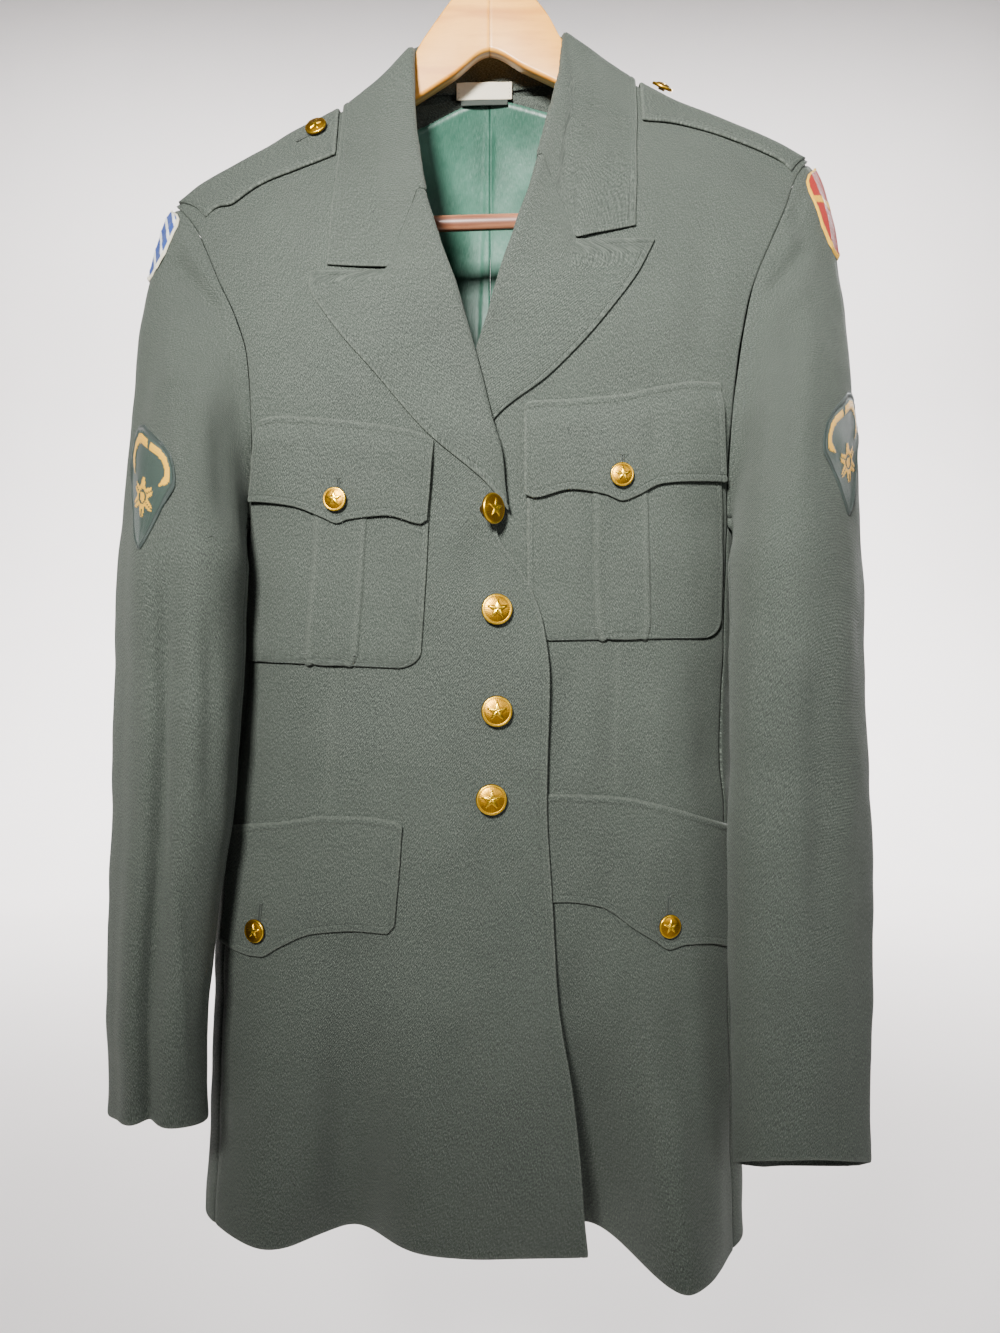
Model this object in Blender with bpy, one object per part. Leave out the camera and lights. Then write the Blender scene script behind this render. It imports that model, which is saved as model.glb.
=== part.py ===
"""A military service coat on a wooden hanger, modelled as closed solids.

Run with: blender --background --python part.py
Sizes in the tables are millimetres. The scene is in metres: +X to the viewer's
right, the coat's front towards -Y, +Z up, the origin where the hook bears.
Left and right are the viewer's left and right.
"""
import math

import bmesh
import bpy
from mathutils import Vector

MM = 0.001
LEFT = -1
RIGHT = 1
FRONT = -1
BACK = 1

# Thicknesses of the cloth and the lining, and the gap left at each seam
CLOTH = 1.6
LINING = 1.0
SEAM_GAP = 0.35
# Height of a piece's middle above the cloth it lies on, and of a box pleat above its pocket
LIE = 1.7
PLEAT_RISE = 1.1
# How far the right front lies behind the left one
UNDERLAP = 7.0

# Ridge of the shoulders. Columns: x, height
SHOULDER = (
    (-227, -233), (-184, -206), (-132, -177), (-104, -162), (-75, -142), (-55, -126),
    (0, -98), (55, -116), (75, -127), (107, -145), (176, -175), (231, -200))
# Rounding over the hanger, then how fast the cloth reaches the body's full depth below it
RIDGE_HALF = 9.0
RIDGE_FALL = 7.0
DRAPE = 230.0
DRAPE_POWER = 1.7

# Sections of the body. Columns: height, centre x, half width, front depth, back depth, squareness
TORSO = (
    (-985, -11, 194, 82, 84, 2.6),
    (-900, -10, 190, 88, 84, 2.6),
    (-780, -9, 186, 92, 82, 2.7),
    (-660, -7, 180, 92, 80, 2.8),
    (-540, 0, 173, 90, 82, 2.9),
    (-470, 1, 174, 88, 84, 2.9),
    (-410, 2, 205, 88, 84, 2.8),
    (-320, 2, 262, 88, 84, 2.7),
    (-180, 2, 330, 88, 84, 2.8))

# Large folds of the body. Columns: face, side (0 is both), x at the hem, half width,
# push at the hem, height where it ends
FOLDS = (
    (FRONT, LEFT, -92, 30, 40, -690),
    (FRONT, LEFT, 0, 40, -6, -760),
    (FRONT, RIGHT, 66, 34, 44, -760),
    (FRONT, RIGHT, 126, 30, -38, -790),
    (FRONT, LEFT, -150, 24, -6, -800),
    (BACK, 0, -70, 30, -16, -700),
    (BACK, 0, 5, 26, 10, -700),
    (BACK, 0, 80, 32, -18, -720))
HEM_HEIGHT = -950.0

# Height of the underarm, and the share of the half width where the side seams run
UNDERARM = -470.0
SEAM_AT = 0.93

# Hem of the fronts and the side. Columns: x, height
HEM = (
    (-215, -944), (-150, -952), (-92, -950), (0, -950), (64, -953), (130, -964), (170, -966), (190, -954))
BACK_HEM = ((-215, -944), (0, -950), (190, -952))

# Inner edge of each front: front edge, roll line, then the neck seam. Columns: height, x
INNER_LEFT = (
    (-950, 65), (-922, 62), (-893, 60), (-846, 55), (-783, 45), (-716, 41), (-651, 37.5),
    (-574, 39.5), (-541, 36), (-515, 28), (-499, 18), (-488, 10), (-477, 5), (-464, 10),
    (-457, 12), (-431, 9.5), (-401, 1.5), (-355, -10), (-310, -24), (-272, -35),
    (-248, -42.5), (-215, -53), (-185, -63), (-160, -70.5), (-142, -75))
INNER_RIGHT = (
    (-950, 25), (-846, 12), (-700, -2), (-600, -6), (-540, -12), (-500, -20), (-464, -26),
    (-440, -24), (-401, -18), (-354, -7), (-314, 6), (-266, 20), (-223, 32.5),
    (-190, 46), (-160, 60), (-140, 69), (-127, 75))

# Armhole seam on the front and on the back. Columns: height, x
ARMHOLE_LEFT = (
    (-470, -161), (-440, -159), (-412, -158.5), (-388, -159), (-357, -162), (-327, -172),
    (-303, -184), (-277, -196), (-254, -208), (-233, -226))
ARMHOLE_RIGHT = (
    (-470, 163), (-438, 161), (-401, 162), (-360, 167), (-316, 176), (-301, 181),
    (-272, 194), (-244, 207), (-217, 218), (-200, 230))
BACK_ARMHOLE_LEFT = (
    (-470, -161), (-430, -163), (-380, -170), (-320, -180), (-270, -197), (-233, -226))
BACK_ARMHOLE_RIGHT = (
    (-470, 163), (-430, 165), (-370, 172), (-300, 183), (-245, 203), (-200, 230))

# Dip of the neck seam at the back, and half its width
BACK_NECK_DROP = 38.0
NECK_HALF = 75.0

# Lapels. Columns: place along the roll, roll x and height, middle x and height, edge x and height
LAPEL_LEFT = (
    (0.00, 12, -457, 12.5, -460, 13, -463),
    (0.12, 9.5, -431, 5, -438, -1, -445),
    (0.26, 2, -403, -19, -414, -40, -412),
    (0.45, -8, -362, -38, -375, -72, -375),
    (0.65, -20, -322, -58, -338, -100, -342),
    (0.83, -31, -286, -68, -312, -119, -311),
    (1.00, -42.5, -249, -67.5, -304, -118, -301))
LAPEL_RIGHT = (
    (0.00, -26, -464, -25.5, -465.5, -25, -467),
    (0.12, -24, -440, -20, -446, -15, -442),
    (0.26, -18, -401, -8, -409, 3, -403),
    (0.42, -9, -362, 14, -374, 40, -373),
    (0.58, 2, -328, 36, -345, 72, -340),
    (0.78, 14, -288, 52, -308, 99, -303),
    (1.00, 32.5, -224, 58, -285, 110, -280))
# Radii of the turned edge, and the room left beside it and beside the neck seam
ROLL_LEFT = 2.3
ROLL_RIGHT = 1.3
ROLL_ROOM = 1.5
NECK_ROOM = 1.0

# Collar, from the left gorge round the back to the right gorge. Columns: place, neck seam x and
# height, fold x, y and height, middle x and height, edge x and height
COLLAR = (
    (0.00, -45.3, -247.5, -42.3, -64.2, -248, -66.5, -302, -107, -296.5),
    (0.12, -54, -213, -47.5, -54, -213, -75, -252, -106, -254),
    (0.24, -63.5, -184, -51, -36, -176, -79, -200, -104, -212),
    (0.31, -71, -160, -53.5, -18, -145, -80, -166, -103.3, -182),
    (0.342, -73, -149, -54.6, -9, -122.5, -80, -152.5, -103, -168.5),
    (0.36, -75, -142, -55, 0, -118.8, -80, -145.5, -103, -161.5),
    (0.375, -73, -143, -54, 8.5, -115, -78, -147, -99, -166),
    (0.41, -66, -146, -49, 17, -107, -68, -150, -86, -180),
    (0.46, -38, -140, -29, 27, -101, -40, -136, -52, -172),
    (0.50, 0, -136, 0, 31, -99, 0, -130, 0, -164),
    (0.54, 38, -134, 29, 27, -98, 40, -131, 54, -164),
    (0.59, 66, -132, 48, 17, -101, 68, -138, 87, -168),
    (0.625, 73, -128, 52.5, 8.5, -105, 78, -132, 99, -149),
    (0.64, 75, -127, 53.3, 0, -107.6, 80, -130, 103, -143),
    (0.658, 73, -134, 52.8, -9, -111.5, 80, -137, 103, -150),
    (0.70, 68, -142, 50.5, -16, -130, 79, -150, 103, -168),
    (0.77, 59, -163, 46, -36, -162, 76, -182, 101, -205),
    (0.88, 46, -190, 39, -50, -194, 66, -230, 99, -240),
    (1.00, 35.3, -222.5, 32.3, -59, -223, 57.5, -283, 97, -271))

# Epaulettes. Columns: share from the armhole to the collar, drop of the front and the back edge
EPAULETTE_LEFT = (
    (0.0, 33, 9), (0.08, 31, 9), (0.2, 37, 9), (0.42, 33, 8), (0.67, 38, 8), (1.0, 44, 8))
EPAULETTE_RIGHT = (
    (0.0, 21, 28), (0.08, 17, 28), (0.2, 17, 27), (0.45, 20, 26), (0.7, 24, 24), (1.0, 38, 20))
# Pocket flaps. Columns: place, top x and height, bottom x and height
CHEST_FLAP_LEFT = (
    (0.00, -152, -402, -158, -452), (0.12, -140, -400, -147, -454), (0.32, -114, -402, -125, -459),
    (0.47, -98, -404, -107, -467), (0.54, -90, -405, -98, -471), (0.61, -83, -406, -90, -468.5),
    (0.78, -62, -409, -66, -466.5), (0.95, -42, -414, -44, -472), (1.00, -36, -418, -40, -470))
CHEST_FLAP_RIGHT = (
    (0.00, 24, -393, 24, -452), (0.05, 30, -391, 30, -454), (0.22, 52, -390, 54, -448.5),
    (0.38, 72, -388, 76, -451.5), (0.47, 84, -387, 87, -455.5), (0.56, 96, -385, 97, -452),
    (0.70, 114, -381, 113, -444), (0.90, 139, -378, 142, -441), (1.00, 152, -378, 156, -440))
LOWER_FLAP_LEFT = (
    (0.00, -176, -674, -183, -752), (0.16, -160, -671, -170, -755), (0.28, -144, -669, -157, -757),
    (0.34, -136, -668, -150, -757), (0.42, -126, -666, -138, -750), (0.56, -106, -663, -116, -740),
    (0.72, -86, -663, -87, -737), (0.94, -60, -666, -66, -738), (1.00, -56, -669, -61, -733))
LOWER_FLAP_RIGHT = (
    (0.00, 34, -649, 34, -719), (0.10, 46, -649, 50, -718.5), (0.26, 70, -650, 73, -722),
    (0.42, 92, -652, 97, -738), (0.52, 106, -655, 110, -746), (0.58, 114, -657, 119, -751.5),
    (0.66, 124, -660, 130, -749), (0.80, 142, -666, 146, -750), (1.00, 161, -673, 164, -756))

# Patch pockets. Columns: place down, left x, right x, height at the left, height at the right
PATCH_LEFT = ((0.0, -158, -38, -424, -438), (0.45, -162, -41, -496, -506), (1.0, -167, -45, -562, -566))
PATCH_RIGHT = ((0.0, 26, 152, -416, -406), (0.45, 26, 156, -480, -474), (1.0, 27, 156, -548, -546))
PATCH_CORNER = 14.0
PLEATS_LEFT = (0.385, 0.665)
PLEATS_RIGHT = (0.335, 0.605)
PLEAT_STEP = 0.006
# Places across a patch pocket before and after its pleat
PATCH_OUTER = {LEFT: [0, 0.035, 0.08, 0.13, 0.19, 0.27], RIGHT: [0, 0.03, 0.08, 0.15, 0.25]}
PATCH_INNER = {LEFT: [0.76, 0.86, 0.93, 0.97, 1], RIGHT: [0.70, 0.79, 0.86, 0.915, 0.96, 1]}
PATCH_DOWN = (0, 0.12, 0.25, 0.42, 0.65, 0.87, 0.92, 0.96, 0.985, 1)

# Sleeve sections. Columns: height, centre x, centre y, half length, half width, turn, squareness
SLEEVE_LEFT = (
    (-870, -221.5, -68, 54, 31, 25, 2.1),
    (-800, -221.5, -67, 57, 32, 25, 2.1),
    (-735, -219, -64, 60, 34, 26, 2.1),
    (-620, -212, -58, 70, 40, 26, 2.1),
    (-500, -209.5, -50, 75, 42, 24, 2.1))
SLEEVE_RIGHT = (
    (-905, 210, -68, 50, 33, 66, 2.2),
    (-800, 210, -66, 54, 36, 58, 2.2),
    (-665, 210.5, -60, 64, 40, 42, 2.1),
    (-600, 210.2, -56, 71, 41, 32, 2.1),
    (-500, 210.2, -50, 76, 42, 25, 2.1))
# Cuff line. Columns: side, height at the middle y, middle y, fall per unit of y
CUFFS = {LEFT: (-861, -85, 0.2), RIGHT: (-894, -73, 0.45)}

# Places round the sleeve where the cloth is modelled, from seam to seam
TOP_SLEEVE = (0.10, 0.14, 0.18, 0.22, 0.255, 0.285, 0.31, 0.34, 0.37, 0.41, 0.46, 0.51, 0.56, 0.62,
              0.68, 0.74, 0.80)
UNDER_SLEEVE = (-0.20, -0.16, -0.12, -0.08, -0.04, 0.0, 0.035, 0.07, 0.10)

# Colour, roughness and metalness
LOOKS = {
    "wool": ((0.105, 0.125, 0.105), 0.85, 0.0),
    "satin": ((0.06, 0.19, 0.15), 0.4, 0.0),
    "gold": ((0.80, 0.55, 0.14), 0.3, 1.0),
    "wood": ((0.72, 0.50, 0.27), 0.45, 0.0),
    "bar": ((0.35, 0.15, 0.08), 0.45, 0.0),
    "steel": ((0.6, 0.6, 0.62), 0.3, 1.0),
    "label": ((0.72, 0.66, 0.52), 0.8, 0.0),
    "dark": ((0.03, 0.04, 0.035), 0.8, 0.0),
    "rank": ((0.03, 0.07, 0.05), 0.8, 0.0),
    "badge_blue": ((0.05, 0.10, 0.42), 0.75, 0.0),
    "badge_red": ((0.75, 0.45, 0.05), 0.75, 0.0),
}

# Shares of the width and height where the panels are modelled
FRONT_ACROSS = (0, 0.035, 0.085, 0.15, 0.235, 0.33, 0.43, 0.53, 0.63, 0.73, 0.83, 0.93, 1)
FRONT_UP = (0, 0.04, 0.09, 0.15, 0.23, 0.33, 0.43, 0.475, 0.50, 0.515, 0.53, 0.55, 0.61, 0.68, 0.75,
            0.82, 0.88, 0.93, 0.965, 0.986, 0.996, 1)
BACK_UP = (0, 0.05, 0.12, 0.2, 0.32, 0.44, 0.55, 0.62, 0.7, 0.78, 0.85, 0.91, 0.945, 0.972, 0.988,
           0.996, 1)
BACK_ACROSS = (0, 0.04, 0.11, 0.22, 0.34, 0.46, 0.58, 0.7, 0.8, 0.9, 1)
WAIST_SHARE = 0.55
TOP_GAP = 0.25

# Sleeves: the armhole, the sleeve head, then the ring below it
ARMHOLE_GAP = 1.35
UNDER_SHARE = 0.18
UNDER_DIP = 12.0
RING_TOP = -500.0
HEAD_OUT = 70.0
HEAD_SPREAD = 14.0
HEAD_FALL = 24.0
HEAD_LENGTH = 120.0
SLOPE_STEP = 20.0
BODY_ROOM = 2.4
POCKET_ROOM = 5.5
# Long troughs of the sleeves. Columns: side, place round the sleeve, half width, depth, top height,
# height where it is full
TROUGHS = (
    (LEFT, 0.325, 0.038, 17, -400, -600),
    (LEFT, 0.47, 0.05, 3, -280, -400),
    (LEFT, 0.72, 0.05, 5, -450, -640),
    (RIGHT, 0.70, 0.05, 6, -430, -620),
    (RIGHT, 0.05, 0.05, 5, -560, -700))
SLEEVE_SEAM = 0.0009
SLEEVE_DOWN = (0, 0.05, 0.13, 0.25, 0.4, 0.6, 0.8, 1, 1.15, 1.31, 1.48, 1.66, 1.84, 2)

# Lapels and collar: the turned edge in degrees, the swell beyond it, and the modelled rows
ROLL_TURNS = (0, 50, 90, 130, 180)
FOLD_TURNS = (0, 60, 120, 180)
LAPEL_SWELL = 0.9
COLLAR_SWELL = 1.3
GORGE_GAP = 0.9
LAPEL_UP = (0.0, 0.03, 0.08, 0.15, 0.23, 0.32, 0.41, 0.5, 0.59, 0.68, 0.77, 0.86, 0.94, 1.0)
COLLAR_BACK_LIFT = 1.6
RIDGE_PLACES = (0.36, 0.64)
COLLAR_ROUND = (0, 0.05, 0.11, 0.17, 0.235, 0.29, 0.322, 0.342, 0.353, 0.36, 0.3635, 0.3675, 0.374,
                0.39, 0.425, 0.46, 0.5, 0.54, 0.575, 0.61, 0.626, 0.6325, 0.6365, 0.64, 0.647, 0.66,
                0.68, 0.72, 0.78, 0.85, 0.92, 1)

# Shoulder straps and their buttons
EPAULETTE_INNER = 107.5
STRAP_ALONG = (0, 0.06, 0.16, 0.3, 0.45, 0.6, 0.74, 0.87, 1)
STRAP_ACROSS = (-1, -0.8, -0.55, -0.3, -0.12, 0, 0.12, 0.4, 0.7, 1)
EPAULETTE_THICK = 2.2
EPAULETTE_LIFT = 1.9
SHOULDER_SHANK = 1.6
SHOULDER_SHANK_GAP = 0.5

# Flaps: modelled rows and columns, then how high they lie over a pocket and over the skirt
FLAP_DOWN = (0, 0.12, 0.3, 0.65, 1)
FLAP_ACROSS = (0, 0.05, 0.1, 0.16, 0.23, 0.32, 0.41, 0.48, 0.54, 0.6, 0.68, 0.78, 0.88, 0.95, 1)
OVER_CHEST = 5.6
OVER_SKIRT = 2.0

# Half section of a button. Columns: share of the radius, height as a share of the radius
BUTTON_PROFILE = ((0.30, -0.04), (0.97, 0.0), (1.0, 0.1), (0.80, 0.24), (0.40, 0.37))
SHANK_SHARE = 0.30
BUTTON_SIDES = 12
# Buttons. Columns: name, side, x, height, radius, height off the body, turn to the side in degrees
BUTTONS = (
    ("button_front_1", LEFT, 2.5, -463, 10.2, 8.5, 48),
    ("button_front_2", LEFT, 5.5, -528, 10.2, 3.0, 8),
    ("button_front_3", LEFT, 5.5, -594, 10.2, 3.0, 4),
    ("button_front_4", LEFT, 2.0, -651, 10.2, 3.0, 4),
    ("button_chest_left", LEFT, -98, -456, 7.9, 9.0, 0),
    ("button_chest_right", RIGHT, 86, -439.5, 7.9, 9.0, 0),
    ("button_lower_left", LEFT, -152, -740, 7.9, 4.8, 0),
    ("button_lower_right", RIGHT, 118, -736, 7.9, 4.8, 0))
# Where each shank ends above the body's outer face
SHANK_REST = {
    "button_front_1": 0.4, "button_front_2": 0.4, "button_front_3": 0.4, "button_front_4": 0.4,
    "button_chest_left": 7.0, "button_chest_right": 7.0, "button_lower_left": 3.2,
    "button_lower_right": 3.2}

# Badge outlines. Columns: height above the middle, reach to the front and to the back
BADGE_THICK = 1.2
BADGE_STEPS = 9
SHIELD = ((38, 15, 15), (35, 21, 21), (25, 25, 25), (8, 26, 26), (-10, 24, 24), (-25, 17, 17),
          (-33, 10, 10), (-38, 3, 3))
RANK = ((38, 14, 14), (34, 25, 25), (26, 31, 31), (15, 33, 33), (-8, 22, 22), (-24, 14, 14),
        (-36, 7, 7), (-42, 2, 2))
# Columns: name, side, place round the sleeve and down it, outline, size, look, height of its inner face
BADGES = (
    ("shoulder_badge_left", LEFT, 0.50, 0.20, SHIELD, 0.8, "badge_blue", 1.9),
    ("shoulder_badge_right", RIGHT, 0.50, 0.23, SHIELD, 1.0, "badge_red", 1.6),
    ("rank_badge_left", LEFT, 0.40, 0.80, RANK, 1.0, "rank", 1.7),
    ("rank_badge_right", RIGHT, 0.44, 0.76, RANK, 1.0, "rank", 1.4))

# Lining of the upper back
LINING_HALF = 118.0
LINING_SEAM = 0.2
LINING_TAPER = 20.0
LINING_NECK = 130.0
LINING_BELOW = 4.0
LINING_RIPPLE = 1.4
LINING_WAVE = 9.0
LINING_ROOM = 1.9
LINING_DOWN = (0, 0.06, 0.15, 0.3, 0.5, 0.75, 1)
LINING_ACROSS = (0, 0.07, 0.2, 0.4, 0.6, 0.8, 1)
LINING_LOW = -430.0

# Outlines of the wooden hanger, above inside the neck and below. Columns: x, height
HANGER_TOP = (
    (-54, -124), (-50, -116), (-42, -104), (-32, -90), (-22, -77), (-12, -67), (0, -62),
    (12, -65), (23, -72.5), (33, -83), (43, -96), (50, -109), (54, -115))
HANGER_LOW = (
    (-192, -264), (-176, -264), (-174.7, -262), (-174.3, -240), (-150, -222), (-104, -190), (-53, -156.5),
    (-26, -139), (0, -121.5), (25, -133.5), (50, -145.5), (104, -175), (150, -204), (174.3, -228),
    (174.7, -250), (176, -252), (192, -252))
HANGER_END = 192.0
HANGER_HALF = 6.5
HANGER_ROUND = 3.0
HANGER_ALONG = (0.12, 10, 22, 33, 43, 50, 54, 62, 70, 80, 104, 128, 150, 174.3, 174.7, 188, 192)
UNDER_RIDGE = 4.9

# Trouser bar and hook
BAR_RADIUS = 5.8
BAR_END = 174.0
BAR_HEIGHT = -243.0
BAR_SLOPE = 0.03
HOOK_RADIUS = 1.8
HOOK_BEND = 19.0


def mild(before, after):
    """Slope at a table row that never overshoots its neighbours."""
    if before * after <= 0:
        return 0.0
    return 2 * before * after / (before + after)


def read(rows, key, column):
    """One column of a table at a key, on a smooth curve through the rows."""
    if key <= rows[0][0]:
        return rows[0][column]
    if key >= rows[-1][0]:
        return rows[-1][column]
    i = max(n for n in range(len(rows) - 1) if rows[n][0] <= key)
    low, high = rows[i], rows[i + 1]
    span = high[0] - low[0]
    slope = (high[column] - low[column]) / span
    before = after = slope
    if i:
        before = (low[column] - rows[i - 1][column]) / (low[0] - rows[i - 1][0])
    if i + 2 < len(rows):
        after = (rows[i + 2][column] - high[column]) / (rows[i + 2][0] - high[0])
    start = mild(before, slope) * span
    end = mild(slope, after) * span
    u = (key - low[0]) / span
    return (low[column] * (2 * u ** 3 - 3 * u ** 2 + 1) + start * (u ** 3 - 2 * u ** 2 + u)
            + high[column] * (3 * u ** 2 - 2 * u ** 3) + end * (u ** 3 - u ** 2))


def ease(low, high, value):
    """Smooth step from 0 at low to 1 at high; low may be the greater one."""
    u = min(1.0, max(0.0, (value - low) / (high - low)))
    return u * u * (3 - 2 * u)


def ridge(x):
    return read(SHOULDER, x, 1)


def hem_push(x, z, face, side):
    """Sum of the large folds, positive towards the hanger's plane."""
    push = 0.0
    for which, half_coat, centre, half, amount, end in FOLDS:
        if which == face and half_coat in (0, side) and z < end:
            swell = ((end - z) / (end - HEM_HEIGHT)) ** 1.5
            push += amount * swell * math.exp(-((x - centre) / half) ** 2)
    return push


def reach(x, z, face, side=0):
    """Distance of the cloth's outer face from the hanger's plane, along Y."""
    centre, half, front, back, square = (read(TORSO, z, c) for c in range(1, 6))
    full = front if face == FRONT else back
    u = min(1.0, abs(x - centre) / half)
    body = full * (1 - u ** square) ** (1 / square)
    drop = max(0.0, ridge(x) - z)
    rise = min(1.0, drop / RIDGE_FALL)
    cap = RIDGE_HALF * math.sqrt(max(0.0, 1 - (1 - rise) ** 2))
    lean = 1 - (1 - min(1.0, drop / DRAPE)) ** DRAPE_POWER
    out = min(max(body, cap * ease(200, 60, drop)), cap + max(0.0, body - RIDGE_HALF) * lean)
    edge = 1 - ease(0.86, 0.97, u) if z < UNDERARM + 60 else 1.0
    return out - hem_push(x, z, face, side) * edge


def place(x, z, face, lift=0.0, sink=0.0, side=0):
    """Point on the body's outer face at x and height z, moved out along the face's normal."""
    z = min(z, ridge(x))
    step = 0.4
    low = min(z, ridge(x) - step)
    slope_x = (reach(x + step, low, face, side) - reach(x - step, low, face, side)) / (2 * step)
    slope_z = (reach(x, low + step, face, side) - reach(x, low - step, face, side)) / (2 * step)
    out = Vector((-slope_x, face, -slope_z)).normalized()
    return Vector((x, face * (reach(x, z, face, side) - sink), z)) + out * lift


def under_lap(x, z):
    """How far the right front lies behind the left one."""
    return UNDERLAP * (1 - ease(70, 140, x)) * (1 - ease(-400, -310, z))


def on_front(side, x, z, lift=0.0):
    sink = under_lap(x, z) if side == RIGHT else 0.0
    return place(x, z, FRONT, lift, sink, side)


def coons(bottom, top, start, end, across, up):
    """Grid of (x, height) pairs filled in between four edge curves."""
    rows = []
    for t in up:
        row = []
        for s in across:
            pair = []
            for k in (0, 1):
                ruled = (1 - t) * bottom(s)[k] + t * top(s)[k] + (1 - s) * start(t)[k] + s * end(t)[k]
                corner = ((1 - s) * (1 - t) * bottom(0)[k] + s * (1 - t) * bottom(1)[k]
                          + (1 - s) * t * top(0)[k] + s * t * top(1)[k])
                pair.append(ruled - corner)
            row.append(pair)
        rows.append(row)
    return rows


def steps(count, low=0.0, high=1.0):
    return [low + (high - low) * n / count for n in range(count + 1)]


def normals(grid):
    """Unit normal at each point of a grid of points."""
    rows, columns = len(grid), len(grid[0])
    result = []
    for i in range(rows):
        line = []
        for j in range(columns):
            up = grid[min(i + 1, rows - 1)][j] - grid[max(i - 1, 0)][j]
            over = grid[i][min(j + 1, columns - 1)] - grid[i][max(j - 1, 0)]
            cross = over.cross(up)
            line.append(cross.normalized() if cross.length > 1e-9 else Vector((0, 0, 0)))
        result.append(line)
    for i in range(rows):
        for j in range(columns):
            if result[i][j].length < 0.5:
                result[i][j] = result[min(max(i, 1), rows - 2)][min(max(j, 1), columns - 2)]
    return result


def finish(name, mesh, look):
    """Close the mesh, turn its faces outwards and make the object."""
    bmesh.ops.remove_doubles(mesh, verts=mesh.verts, dist=0.00002)
    bmesh.ops.dissolve_degenerate(mesh, dist=0.00001, edges=mesh.edges)
    bmesh.ops.recalc_face_normals(mesh, faces=mesh.faces)
    data = bpy.data.meshes.new(name)
    mesh.to_mesh(data)
    mesh.free()
    item = bpy.data.objects.new(name, data)
    data.materials.append(material(name, look))
    bpy.context.collection.objects.link(item)
    return item


def wall(name, grid, thick, look, out=0.0, limit=None, across=None):
    """Closed wall on a grid of points. out is how far its outer face lies off the grid."""
    across = across or normals(grid)
    rows, columns = len(grid), len(grid[0])
    mesh = bmesh.new()
    faces = []
    for offset in (out, out - thick):
        layer = []
        for i in range(rows):
            line = []
            for j in range(columns):
                point = grid[i][j] + across[i][j] * offset
                if limit:
                    point = limit(point)
                line.append(mesh.verts.new(point * MM))
            layer.append(line)
        faces.append(layer)
    outer, inner = faces
    for i in range(rows - 1):
        for j in range(columns - 1):
            mesh.faces.new((outer[i][j], outer[i][j + 1], outer[i + 1][j + 1], outer[i + 1][j]))
            mesh.faces.new((inner[i][j], inner[i + 1][j], inner[i + 1][j + 1], inner[i][j + 1]))
    rim = [(0, j) for j in range(columns)] + [(i, columns - 1) for i in range(1, rows)]
    rim += [(rows - 1, j) for j in range(columns - 2, -1, -1)] + [(i, 0) for i in range(rows - 2, 0, -1)]
    for n, (i, j) in enumerate(rim):
        k, m = rim[(n + 1) % len(rim)]
        mesh.faces.new((outer[i][j], inner[i][j], inner[k][m], outer[k][m]))
    return finish(name, mesh, look)


def material(name, look):
    colour, rough, metal = LOOKS[look]
    item = bpy.data.materials.new(name + "_" + look)
    item.use_nodes = True
    shader = item.node_tree.nodes["Principled BSDF"]
    shader.inputs["Base Color"].default_value = (*colour, 1.0)
    shader.inputs["Roughness"].default_value = rough
    shader.inputs["Metallic"].default_value = metal
    item.diffuse_color = (*colour, 1.0)
    return item


def split_height(t, low, middle, high):
    """Height at a share of the way up, with the underarm always at the same share."""
    if t < WAIST_SHARE:
        return low + (middle - low) * t / WAIST_SHARE
    return middle + (high - middle) * (t - WAIST_SHARE) / (1 - WAIST_SHARE)


def seam_x(side, z):
    """The seam between a front or back and the side panel."""
    return read(TORSO, z, 1) + side * SEAM_AT * read(TORSO, z, 2)


def outer_edge(side, armhole, hem, gap):
    top = armhole[-1][0]

    def edge(t):
        z = split_height(t, hem, UNDERARM, top)
        x = seam_x(side, z) if z < UNDERARM else read(armhole, z, 1)
        return x - side * gap / 2, z
    return edge


def panel(side, inner, armhole, hem_rows, top_of_neck):
    """Grid of (x, height) of a front or a back."""
    neck_z = inner[-1][0]
    hem_in = read(hem_rows, inner[0][1], 1)
    hem_out = read(hem_rows, seam_x(side, HEM_HEIGHT), 1)
    outer = outer_edge(side, armhole, hem_out, SEAM_GAP)

    def front_edge(t):
        z = split_height(t, hem_in, top_of_neck, neck_z)
        return read(inner, z, 1), z

    def bottom(s):
        x = outer(0)[0] + (front_edge(0)[0] - outer(0)[0]) * s
        return x, read(hem_rows, x, 1)

    def top(s):
        x = outer(1)[0] + (front_edge(1)[0] - outer(1)[0]) * s
        return x, ridge(x)
    return coons(bottom, top, outer, front_edge, FRONT_ACROSS, FRONT_UP)


def keep_ahead(point):
    return Vector((point.x, min(point.y, -TOP_GAP), point.z))


def keep_behind(point):
    return Vector((point.x, max(point.y, TOP_GAP), point.z))


def front(name, side, inner, armhole, break_height):
    pairs = panel(side, inner, armhole, HEM, break_height)
    grid = [[on_front(side, x, z) for x, z in row] for row in pairs]
    if side == RIGHT:
        grid = [row[::-1] for row in grid]
    return wall(name, grid, CLOTH, "wool", limit=keep_ahead)


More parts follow.
